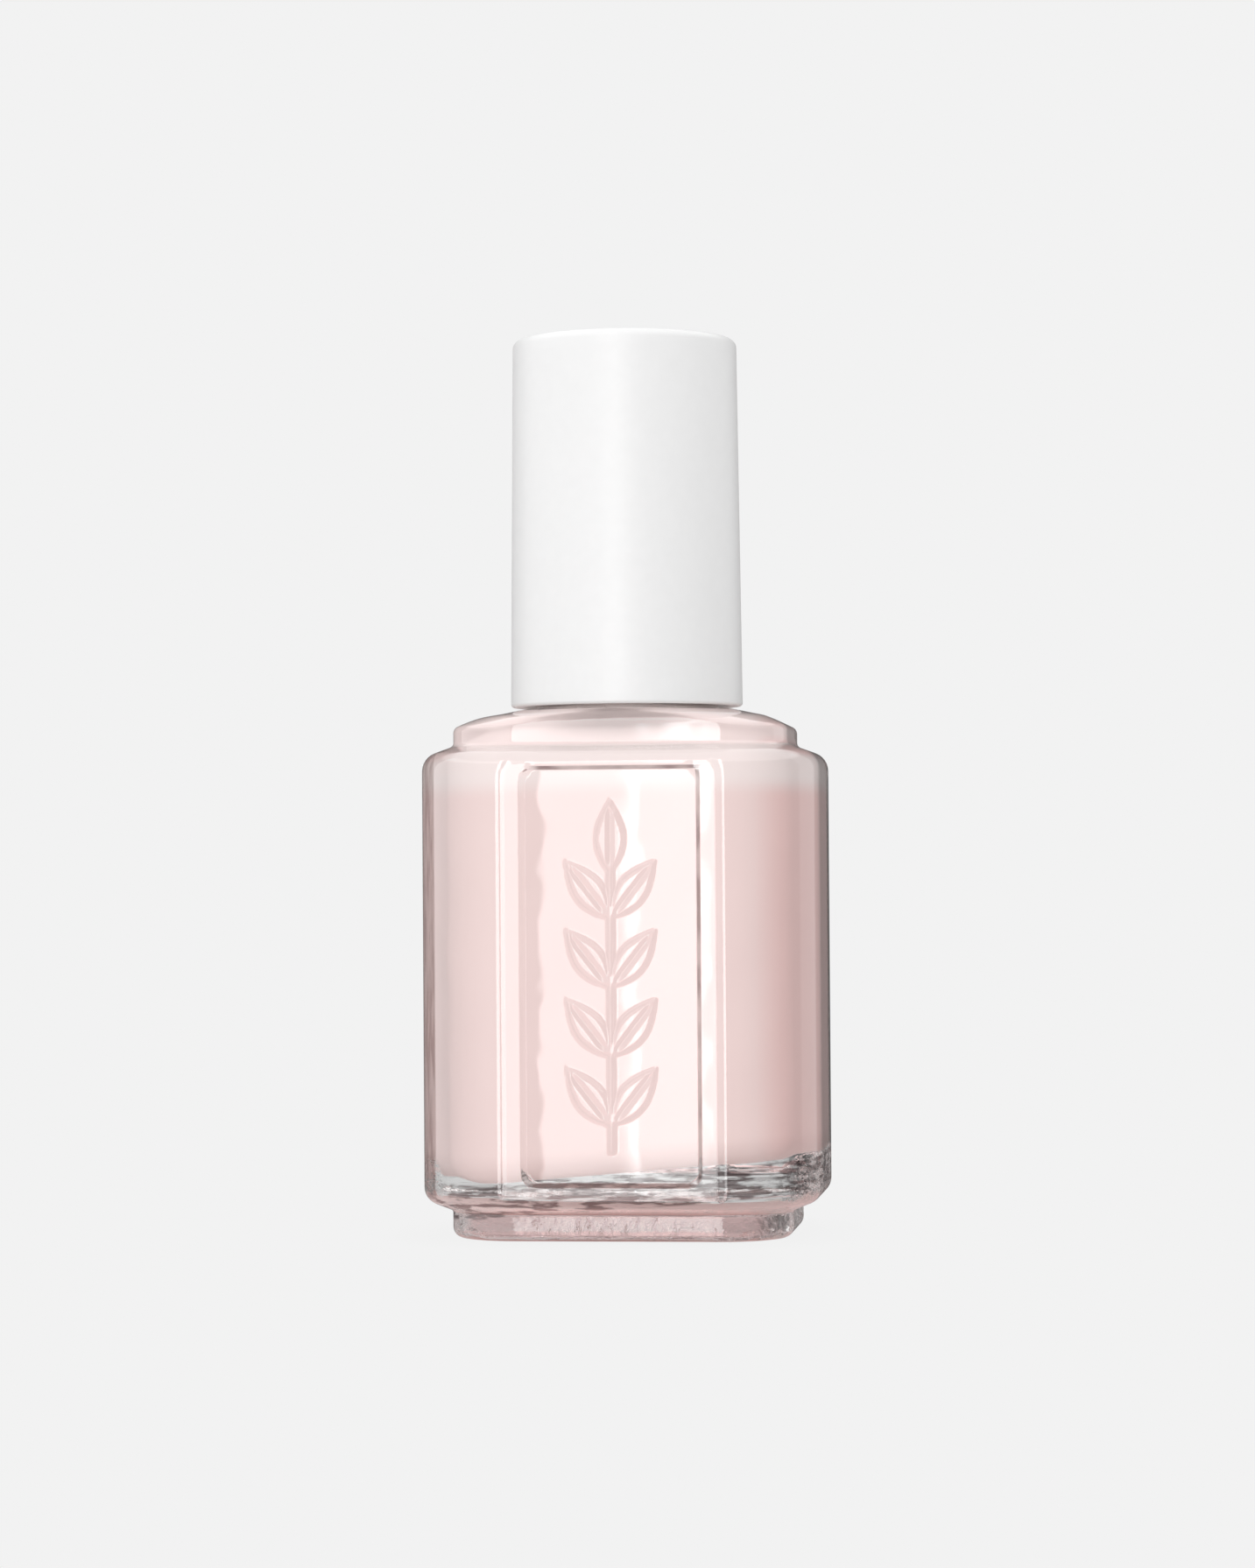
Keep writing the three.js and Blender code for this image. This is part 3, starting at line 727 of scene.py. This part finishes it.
def wetted_material(name, dry, line, low_rough, high_rough, ragged=0.0015):
    """A dry finish above `line` and a glossy coat of lacquer below it, with a ragged edge between."""
    material, tree = new_material(name)
    edge = between(tree, noise(tree, 420.0, 2.0), 0.2, 0.8, -ragged, ragged)
    height = maths(tree, "ADD", axes(tree, place(tree))["Z"], edge)
    wet = between(tree, height, line - 0.0003, line + 0.0003, 1.0, 0.0, smooth=True)
    mottle = noise(tree, 300.0, 3.0)
    lacquer = mix_colour(tree, mottle, rgb(246, 222, 221), rgb(250, 232, 231))
    looks = {
        "Base Color": mix_colour(tree, wet, dry, lacquer),
        "Roughness": mix_value(tree, wet, between(tree, mottle, 0.3, 0.7, low_rough, high_rough), 0.12),
        "Coat Weight": wet,
        "Coat Roughness": 0.05,
        "Normal": bump(tree, noise(tree, 700.0, 2.0), 0.3, 0.00002),
    }
    finish_material(tree, principled(tree, looks))
    return material


def steel_material(name, roughness, stretch):
    """Polished wire or ball steel with fine marks drawn out along one direction."""
    material, tree = new_material(name)
    drawn = add(tree, "ShaderNodeMapping", {"Vector": place(tree), "Scale": stretch}).outputs["Vector"]
    marks = noise(tree, 2500.0, 4.0, drawn)
    looks = {
        "Base Color": mix_colour(tree, marks, rgb(205, 207, 210), rgb(224, 225, 227)),
        "Metallic": 1.0,
        "Roughness": between(tree, marks, 0.3, 0.7, roughness, roughness + 0.15),
        "Normal": bump(tree, marks, 0.2, 0.00001),
    }
    finish_material(tree, principled(tree, looks))
    return material


def foam_material():
    """Closed-cell foam: small cells that pit the surface."""
    material, tree = new_material("seal_foam")
    cells = add(tree, "ShaderNodeTexVoronoi", {"Vector": place(tree), "Scale": 4500.0}).outputs["Distance"]
    looks = {
        "Base Color": mix_colour(tree, cells, rgb(214, 220, 226), rgb(236, 240, 243)),
        "Roughness": 0.75,
        "Normal": bump(tree, cells, 0.6, 0.00006),
    }
    finish_material(tree, principled(tree, looks))
    return material


def label_material(name, paper, rule, box, across, inset=0.0011, line=0.00018):
    """Blank satin label stock with one thin printed rule round its edge and a faint paper grain."""
    material, tree = new_material(name)
    split = axes(tree, place(tree))
    gaps = []
    for axis in across:
        low, high = box[0][axis] * MM, box[1][axis] * MM
        value = split["XYZ"[axis]]
        middle, half = (low + high) / 2, (high - low) / 2
        reach = maths(tree, "ABSOLUTE", maths(tree, "SUBTRACT", value, middle))
        gaps.append(maths(tree, "SUBTRACT", half, reach))
    nearest = maths(tree, "MINIMUM", *gaps)
    off = maths(tree, "ABSOLUTE", maths(tree, "SUBTRACT", nearest, inset))
    printed = between(tree, off, line * 0.5, line * 0.8, 1.0, 0.0, smooth=True)
    grain = noise(tree, 1800.0, 4.0)
    stock = mix_colour(tree, grain, tuple(c * 0.97 for c in paper[:3]) + (1.0,), paper)
    looks = {
        "Base Color": mix_colour(tree, printed, stock, rule),
        "Roughness": between(tree, grain, 0.3, 0.7, 0.38, 0.5),
        "Coat Weight": 0.2,
        "Normal": bump(tree, grain, 0.15, 0.00001),
    }
    finish_material(tree, principled(tree, looks))
    return material


# ------------------------------------------------------------------ pieces


def finish_piece(piece, body, node):
    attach(piece, body)
    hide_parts(node)
    return piece


def make_glass():
    piece = shell("clear_bottle", glass_rings(), glass_material())
    return finish_piece(piece, "bottle", "glass_bottle")


def make_fill():
    piece = shell("pink_fill", fill_rings(), fill_material())
    return finish_piece(piece, "bottle", "polish")


def make_overcap():
    """The tall white cap: a drafted cup with rounded edges and ribs inside that grip the inner cap."""
    low, high = CAP_LOW[2], CAP_HIGH[2]
    foot_radius = CAP_HIGH[0]
    top_radius = foot_radius - 0.35
    wall, roof = 1.35, 1.6
    inner = foot_radius - wall
    ceiling = high - roof
    profile = rounded(
        [
            (0.4, ceiling, 0),
            (inner, ceiling, 1.2),
            (inner, low, 0.35),
            (foot_radius, low, 0.3),
            (top_radius, high, 0.75),
            (0.4, high - 0.06, 0),
        ],
        steps=8,
    )
    rib_low, rib_high = INNER_LOW[2], 63.3
    rib_depth, rib_half, ribs = inner - 8.7, 0.4, 8

    def with_ribs(radius, z, angle):
        pitch = 2 * math.pi / ribs
        off_rib = np.abs((angle + pitch / 2) % pitch - pitch / 2) * inner
        across = 1 - smooth_step(rib_half * 0.6, rib_half * 1.3, off_rib)
        along = smooth_step(rib_low - 0.2, rib_low + 0.4, z) * (1 - smooth_step(rib_high - 0.4, rib_high, z))
        on_wall = np.abs(radius - inner) < 0.05
        return radius - np.where(on_wall, rib_depth * across * along, 0)

    rings = turned(refined(profile, 0.9), 288, with_ribs)
    white = plastic_material(
        "white_cap", rgb(240, 240, 240), 0.4, 0.46, grain=2600.0, depth=0.000002, coat=0.1
    )
    piece = shell("white_overcap", rings, white)
    piece.visible_shadow = False  # in the soft light the cap hardly darkens the shoulder
    return finish_piece(piece, "cap_and_brush", "overcap")


def make_inner_cap():
    """The threaded inner cap, knurled outside, with the closed socket that holds the brush."""
    low, high = INNER_LOW[2], INNER_HIGH[2]
    skirt, plate_low, plate_high, socket, bore = 8.25, 61.9, 63.3, 4.2, 2.75
    profile = rounded(
        [
            (0.3, high - 1.0, 0),
            (bore, high - 1.0, 0.3),
            (bore, 67.9, 0.1),
            (bore + 0.3, 67.6, 0.1),
            (bore + 0.3, 66.6, 0.1),
            (bore, 66.3, 0.1),
            (bore, plate_low, 0.2),
            (FEMALE_ROOT, plate_low, 0.4),
            (FEMALE_ROOT, low, 0.2),
            (skirt, low, 0.2),
            (skirt, plate_high, 0.4),
            (socket, plate_high, 0.5),
            (socket, high, 0.4),
            (0.3, high, 0),
        ],
        steps=4,
    )

    def detailed(radius, z, angle):
        ridge = thread_height(angle, z, THREAD_LOW - THREAD_LEAD / 2)
        on_bore = np.abs(radius - FEMALE_ROOT) < 0.05
        teeth = smooth_step(-0.1, 0.6, np.cos(40 * angle))
        above_foot = smooth_step(low + 0.8, low + 1.6, z)
        knurl = teeth * above_foot * (1 - smooth_step(plate_high - 1.6, plate_high - 0.8, z))
        on_skirt = np.abs(radius - skirt) < 0.05
        cut = radius - np.where(on_bore, FEMALE_RISE * ridge, 0)
        return cut + np.where(on_skirt, 0.18 * knurl, 0)

    rings = turned(refined(profile, 0.22), 240, detailed)
    plastic = plastic_material("natural_plastic", rgb(238, 238, 234), 0.4, 0.55, subsurface=0.15)
    piece = shell("threaded_inner_cap", rings, plastic)
    return finish_piece(piece, "cap_and_brush", "inner_cap")


def make_washer():
    inner, outer = 4.5, WASHER_HIGH[0]
    low, high = WASHER_LOW[2], WASHER_HIGH[2]
    corners = [(inner, low), (outer, low), (outer, high), (inner, high)]
    middle = ((inner + outer) / 2, low)
    loop = rounded(
        [(*middle, 0), *[(x, z, 0.22) for x, z in corners[1:]], (*corners[0], 0.22), (*middle, 0)], steps=5
    )
    columns = 120
    rings = turned(refined(loop[:-1], 0.4), columns)
    rows = len(rings)
    start = (np.arange(rows) * columns)[:, None]
    after = (np.roll(np.arange(rows), -1) * columns)[:, None]
    here = np.arange(columns)
    there = (here + 1) % columns
    quads = np.stack([start + here, start + there, after + there, after + here], -1).reshape(-1, 4)
    piece = new_object("foam_washer", rings.reshape(-1, 3), quads, NO_TRIANGLES, foam_material())
    return finish_piece(piece, "seal", "seal_washer")


def make_stem():
    """The moulded brush stem; its lower part is wet with lacquer."""
    tip, high = STEM_LOW[2], STEM_HIGH[2]
    head, top, end, plug, flange = 2.45, 2.1, 1.75, 4.2, STEM_HIGH[0]
    bore, bore_top = 1.2, tip + 4.2
    flange_low, flange_high = 60.7, 61.7
    profile = rounded(
        [
            (0.2, bore_top, 0),
            (bore, bore_top, 0.1),
            (bore, tip, 0.12),
            (end, tip, 0.2),
            (end, bore_top + 0.8, 0.6),
            (end - 0.1, bore_top + 1.6, 0.6),
            (top, 55.2, 1.5),
            (top + 0.7, 56.2, 0.8),
            (plug, 57.4, 0.8),
            (plug, flange_low, 0.1),
            (flange, flange_low, 0.15),
            (flange, flange_high, 0.15),
            (head, flange_high, 0.2),
            (head, 66.5, 0.2),
            (head + 0.3, 66.8, 0.1),
            (head + 0.3, 67.1, 0.2),
            (head - 0.2, high, 0.3),
            (0.2, high, 0),
        ],
        steps=4,
    )
    plastic = wetted_material("stem_plastic", rgb(240, 240, 237), 0.0415, 0.35, 0.45)
    piece = shell("tapered_brush_stem", turned(refined(profile, 0.6), 72), plastic)
    return finish_piece(piece, "cap_and_brush", "brush_stem")


def make_bristles():
    """Some three hundred folded nylon filaments that spread from the stem's bore to a rounded, flat tip."""
    rng = np.random.default_rng(SEED)
    count, around, thickness = 300, 5, 0.062
    heights = np.concatenate([np.linspace(0, 0.3, 4)[:-1], np.linspace(0.3, 1, 10)])
    low, high = TUFT_LOW[2], TUFT_HIGH[2]
    wide, deep, root = TUFT_HIGH[0], TUFT_HIGH[1], 0.84
    golden = math.pi * (3 - math.sqrt(5))
    vertices, quads, triangles = [], [], []
    for i in range(count):
        reach = math.sqrt((i + 0.5) / count)
        angle = i * golden
        ux, uy = reach * math.cos(angle), reach * math.sin(angle)
        shorten = 3.2 * (1 - math.sqrt(max(0.0, 1 - 0.92 * reach**2))) + 0.35 * rng.random()
        tip = low + shorten
        sway = rng.normal(0, 0.05, 2)
        base = len(vertices)
        for level in heights:
            z = high + (tip - high) * level
            below = np.clip((STEM_LOW[2] - z) / (STEM_LOW[2] - low), 0, 1)
            spread = 1 - (1 - below) ** 2.2
            pinch = 1 - 0.12 * smooth_step(0.75, 1.0, level)
            x = ux * (root + (wide - 0.12 - root) * spread) * pinch + sway[0] * spread
            y = uy * (root + (deep - 0.1 - root) * spread) * pinch + sway[1] * spread
            radius = thickness * (1 - 0.55 * smooth_step(0.85, 1.0, level))
            for k in range(around):
                turn = 2 * math.pi * k / around
                vertices.append((x + radius * math.cos(turn), y + radius * math.sin(turn), z))
        for level in range(len(heights) - 1):
            a, b = base + level * around, base + (level + 1) * around
            for k in range(around):
                n = (k + 1) % around
                quads.append((a + k, b + k, b + n, a + n))
        last = base + (len(heights) - 1) * around
        for k in range(1, around - 1):
            triangles.append((base, base + k, base + k + 1))
            triangles.append((last, last + k + 1, last + k))
    nylon = wetted_material("nylon_bristles", rgb(46, 43, 46), 0.0247, 0.3, 0.4, ragged=0.0012)
    piece = new_object("nylon_bristles", vertices, np.array(quads), np.array(triangles), nylon)
    return finish_piece(piece, "cap_and_brush", "bristles")


def rounded_plate(name, low, high, corner, edge, material, upright):
    """A thin plate with rounded corners and softened edges, lying flat or standing up in the XZ plane."""
    flat = (0, 2, 1) if upright else (0, 1, 2)
    size = (high - low)[list(flat)]
    a, b, thick = size[0] / 2, size[1] / 2, size[2]
    angles = np.linspace(0, 2 * math.pi, 160, endpoint=False)
    rings = [(2, 0), (edge, 0), (0.3 * edge, 0.3 * edge), (0, edge)]
    rings += [(inset, thick - level) for inset, level in reversed(rings)]
    points = []
    for inset, level in rings:
        distance = edge_distance(a - inset, b - inset, max(corner - inset, 0.2), angles)
        points.append(ring(distance, angles, level))
    points = np.array(points)
    centre = (low + high) / 2
    if upright:
        points = np.stack([-points[..., 0], points[..., 2], points[..., 1]], -1)
        points += np.array([centre[0], low[1], centre[2]])
    else:
        points += np.array([centre[0], centre[1], low[2]])
    return shell(name, points, material)


def make_labels():
    back_box, base_box = (BACK_LOW, BACK_HIGH), (BASE_LOW, BASE_HIGH)
    back = label_material("back_film", rgb(247, 245, 243), rgb(214, 168, 168), back_box, (0, 2))
    base = label_material("base_film", rgb(243, 226, 225), rgb(196, 150, 150), base_box, (0, 1), inset=0.0008)
    back_piece = rounded_plate("blank_back_label", BACK_LOW, BACK_HIGH, 0.9, 0.05, back, True)
    base_piece = rounded_plate("blank_base_label", BASE_LOW, BASE_HIGH, 5.4, 0.05, base, False)
    finish_piece(back_piece, "bottle", "back_label")
    finish_piece(base_piece, "bottle", "base_label")


def make_staple():
    """A flat wire anchor with softened edges, over the fold of the filaments."""
    wide, thick, tall = (STAPLE_HIGH - STAPLE_LOW) / 2
    centre = (STAPLE_LOW + STAPLE_HIGH) / 2
    angles = np.linspace(0, 2 * math.pi, 48, endpoint=False)
    edge = [(0.3, -1), (0.08, -1), (0.02, -0.85), (0, -0.5)]
    edge += [(inset, -level) for inset, level in reversed(edge)]
    rings = []
    for inset, level in edge:
        distance = edge_distance(wide - inset, tall - inset, 0.25, angles)
        x, z = distance * np.cos(angles), distance * np.sin(angles)
        rings.append(np.stack([-x, np.full(48, level * thick), z], -1) + centre)
    steel = steel_material("drawn_wire", 0.2, (1, 1, 8))
    piece = shell("flat_wire_staple", np.array(rings), steel)
    return finish_piece(piece, "cap_and_brush", "bristle_staple")


def make_ball(node, body, name, steel):
    """A bearing ball made from an evenly divided cube pushed out to a sphere."""
    low, high = cad_box(node)
    centre, radius = (low + high) / 2, (high - low)[0] / 2
    steps = 14
    grid = np.tan(np.linspace(-math.pi / 4, math.pi / 4, steps + 1))
    u, v = np.meshgrid(grid, grid, indexing="ij")
    one = np.ones_like(u)
    sides = [(u, v, one), (v, u, -one), (one, u, v), (-one, v, u), (v, one, u), (u, -one, v)]
    points = np.concatenate([np.stack(side, -1).reshape(-1, 3) for side in sides])
    points /= np.linalg.norm(points, axis=1)[:, None]
    _, first, where = np.unique(np.round(points, 5), axis=0, return_index=True, return_inverse=True)
    where = where.ravel()
    index = np.arange(len(points)).reshape(6, steps + 1, steps + 1)
    quads = np.stack([index[:, :-1, :-1], index[:, 1:, :-1], index[:, 1:, 1:], index[:, :-1, 1:]], -1)
    vertices = points[first] * radius + centre
    piece = new_object(name, vertices, where[quads].reshape(-1, 4), NO_TRIANGLES, steel)
    return finish_piece(piece, body, node)


def make_balls():
    steel = steel_material("ball_steel", 0.08, (1, 1, 1))
    make_ball("mixing_ball_left", "left_ball", "steel_ball_left", steel)
    make_ball("mixing_ball_right", "right_ball", "steel_ball_right", steel)


# ------------------------------------------------------------------ studio

CAMERA_AWAY = 0.3720  # metres from the bottle's axis
CAMERA_HEIGHT = 0.0325
CAMERA_AIM = 0.0395  # height of the point on the axis in the middle of the picture
CAMERA_AZIMUTH = math.radians(6.8)  # to the right of the front
CAMERA_ROLL = math.radians(-0.4)
LENS, SENSOR = 96.5, 36.0
BACKDROP = rgb(242, 242, 242)
KEY_DIRECTION = (-0.36, -0.85, 0.38)
KEY_STRENGTH = (0.5, 1.27)  # soft light away from and towards that direction

# What the glass and the cap mirror: azimuth from, to and softness in degrees (0 is the front, 90 the
# right), then elevation from, to and softness, then radiance. STUDIO_DARK is the radiance between cards.
STUDIO_DARK = 0.1
CARDS = (
    (-6.0, 3.0, 0.8, -40, 40, 10, 6.2),  # tall softbox beside the camera
    (-9.7, -6.0, 0.3, -40, 40, 10, 4.8),  # its dimmer left part
    (-113, -11.2, 0.5, -60, 40, 10, 1.2),  # white wall at the left
    (112, 142, 6, -40, 40, 10, 0.6),  # white card behind, at the right
    (-180, 180, 1, 38, 90, 8, 1.3),  # overhead softbox
    (-180, 180, 1, -90, -14, 8, 0.6),  # floor
)
THROUGH_GLASS_LIMIT = 1.6  # the brightest thing seen through the glass, so that its heel isn't burnt out
BACKDROP_THROUGH_GLASS = 0.5  # its radiance, seen through the glass but not mirrored in it
FLAG_AWAY, FLAG_LONG, FLAG_HIGH = 80, 66, 36
FLAG_MIDDLE = 3  # a little behind the bottle's axis
FLOOR_HALF = 4000
FLOOR_DROP = 0.02  # below the standing ring, so that the two don't share a plane
PINK_GLOW = rgb(246, 216, 214)  # light that the fill throws on the floor under the bottle


def make_camera():
    data = bpy.data.cameras.new("camera")
    data.sensor_width = SENSOR
    data.lens = LENS
    data.clip_start, data.clip_end = 0.01, 20
    camera = bpy.data.objects.new("camera", data)
    right, front = math.sin(CAMERA_AZIMUTH), math.cos(CAMERA_AZIMUTH)
    stand = Vector((CAMERA_AWAY * right, -CAMERA_AWAY * front, CAMERA_HEIGHT))
    toward = (Vector((0, 0, CAMERA_AIM)) - stand).to_track_quat("-Z", "Y").to_matrix().to_4x4()
    roll = Matrix.Rotation(CAMERA_ROLL, 4, "Z")
    camera.matrix_world = Matrix.Translation(stand) @ toward @ roll
    bpy.context.scene.collection.objects.link(camera)
    bpy.context.scene.camera = camera


def studio_seen_in_glass(tree, direction):
    """Radiance of the cards and backdrop that the glass and the cap mirror."""
    split = axes(tree, direction)
    toward = maths(tree, "MULTIPLY", split["Y"], -180 / math.pi)
    across = maths(tree, "MULTIPLY", split["X"], 180 / math.pi)
    turn = maths(tree, "ARCTAN2", across, toward)
    azimuth = maths(tree, "MULTIPLY", turn, 180 / math.pi)
    rise = maths(tree, "ARCSINE", split["Z"])
    elevation = maths(tree, "MULTIPLY", rise, 180 / math.pi)
    radiance = STUDIO_DARK
    for low, high, soft, bottom, top, fade, strength in CARDS:
        upright = window(tree, elevation, bottom, top, fade)
        wide = window(tree, azimuth, low, high, soft)
        radiance = maths(tree, "ADD", times(tree, upright, wide, strength), radiance)
    straight = between(tree, split["Y"], 0.78, 0.95, 0.0, BACKDROP_THROUGH_GLASS, smooth=True)
    through = add(tree, "ShaderNodeLightPath").outputs["Is Transmission Ray"]
    backdrop = maths(tree, "MULTIPLY", straight, through)
    return maths(tree, "ADD", radiance, backdrop)


def make_world():
    """Three studios: an even backdrop for the camera, cards for reflections and soft light for the rest."""
    world = bpy.data.worlds.new("studio")
    bpy.context.scene.world = world
    world.use_nodes = True
    tree = world.node_tree
    tree.nodes.clear()
    direction = add(tree, "ShaderNodeTexCoord").outputs["Generated"]
    key = {0: direction, 1: Vector(KEY_DIRECTION).normalized()}
    facing = add(tree, "ShaderNodeVectorMath", key, operation="DOT_PRODUCT").outputs["Value"]
    soft = between(tree, facing, -0.9, 0.75, *KEY_STRENGTH, smooth=True)
    cards = studio_seen_in_glass(tree, direction)
    rays = add(tree, "ShaderNodeLightPath").outputs
    dimmed = maths(tree, "MINIMUM", cards, THROUGH_GLASS_LIMIT)
    cards = mix_value(tree, rays["Is Transmission Ray"], cards, dimmed)
    sharp = maths(tree, "MAXIMUM", rays["Is Glossy Ray"], rays["Is Transmission Ray"])
    strength = mix_value(tree, sharp, soft, cards)
    down = axes(tree, direction)["Z"]
    below = between(tree, down, -0.25, -0.12, 1.0, 0.0, smooth=True)
    glow = maths(tree, "MULTIPLY", below, sharp)
    tint = mix_colour(tree, glow, (1, 1, 1, 1), PINK_GLOW)
    studio = add(tree, "ShaderNodeBackground", {"Color": tint, "Strength": strength}).outputs[0]
    backdrop = add(tree, "ShaderNodeBackground", {"Color": BACKDROP, "Strength": 1.0}).outputs[0]
    both = add(tree, "ShaderNodeMixShader", {0: rays["Is Camera Ray"], 1: studio, 2: backdrop}).outputs[0]
    add(tree, "ShaderNodeOutputWorld", {"Surface": both})


def make_floor():
    """A pale floor that meets the backdrop without a line; a painted shadow darkens it only right under the
    bottle.
    """
    material, tree = new_material("pale_floor")
    # painted shadow: ambient occlusion darkens the floor's even emission under the bottle
    painted_shadow_ao = add(tree, "ShaderNodeAmbientOcclusion", {"Distance": 0.006}, samples=8).outputs["AO"]
    shade = between(tree, painted_shadow_ao, 0.0, 1.0, 0.975, 1.0)
    even = add(tree, "ShaderNodeEmission", {"Color": BACKDROP, "Strength": shade}).outputs[0]
    matt = add(tree, "ShaderNodeBsdfDiffuse", {"Color": (0.8, 0.8, 0.8, 1)}).outputs[0]
    camera_ray = add(tree, "ShaderNodeLightPath").outputs["Is Camera Ray"]
    finish_material(tree, add(tree, "ShaderNodeMixShader", {0: camera_ray, 1: matt, 2: even}).outputs[0])
    steps = 24
    edge = np.linspace(-FLOOR_HALF, FLOOR_HALF, steps + 1)
    x, y = np.meshgrid(edge, edge, indexing="ij")
    index = np.arange((steps + 1) ** 2).reshape(steps + 1, steps + 1)
    quads = np.stack([index[:-1, :-1], index[1:, :-1], index[1:, 1:], index[:-1, 1:]], -1).reshape(-1, 4)
    points = np.stack([x.ravel(), y.ravel(), np.full(x.size, -FLOOR_DROP)], -1)
    floor = new_object("floor", points, quads, NO_TRIANGLES, material)
    floor.visible_glossy = False
    floor.visible_transmission = False


def make_flags():
    """Two black cards, out of the picture, that keep side light off the bottle but not off its cap."""
    material, tree = new_material("black_card")
    weave = between(tree, noise(tree, 400.0), 0, 1, 0.01, 0.03)
    shade = add(tree, "ShaderNodeCombineColor", {"Red": weave, "Green": weave, "Blue": weave}).outputs[0]
    finish_material(tree, add(tree, "ShaderNodeBsdfDiffuse", {"Color": shade}).outputs[0])
    for name, x in (("left_flag", -FLAG_AWAY), ("right_flag", FLAG_AWAY)):
        front, back = FLAG_MIDDLE - FLAG_LONG / 2, FLAG_MIDDLE + FLAG_LONG / 2
        corners = [(x, y, z) for y, z in ((front, 0), (back, 0), (back, FLAG_HIGH), (front, FLAG_HIGH))]
        flag = new_object(name, corners, np.array([[0, 1, 2, 3]]), NO_TRIANGLES, material)
        flag.visible_camera = False
        flag.visible_glossy = False
        flag.visible_transmission = False


def make_studio():
    make_world()
    make_floor()
    make_flags()
    make_camera()
    scene = bpy.context.scene
    scene.view_settings.view_transform = "Standard"
    scene.view_settings.look = "None"


def main():
    make_glass()
    make_fill()
    make_balls()
    make_labels()
    make_overcap()
    make_inner_cap()
    make_washer()
    make_stem()
    make_bristles()
    make_staple()
    make_studio()


main()
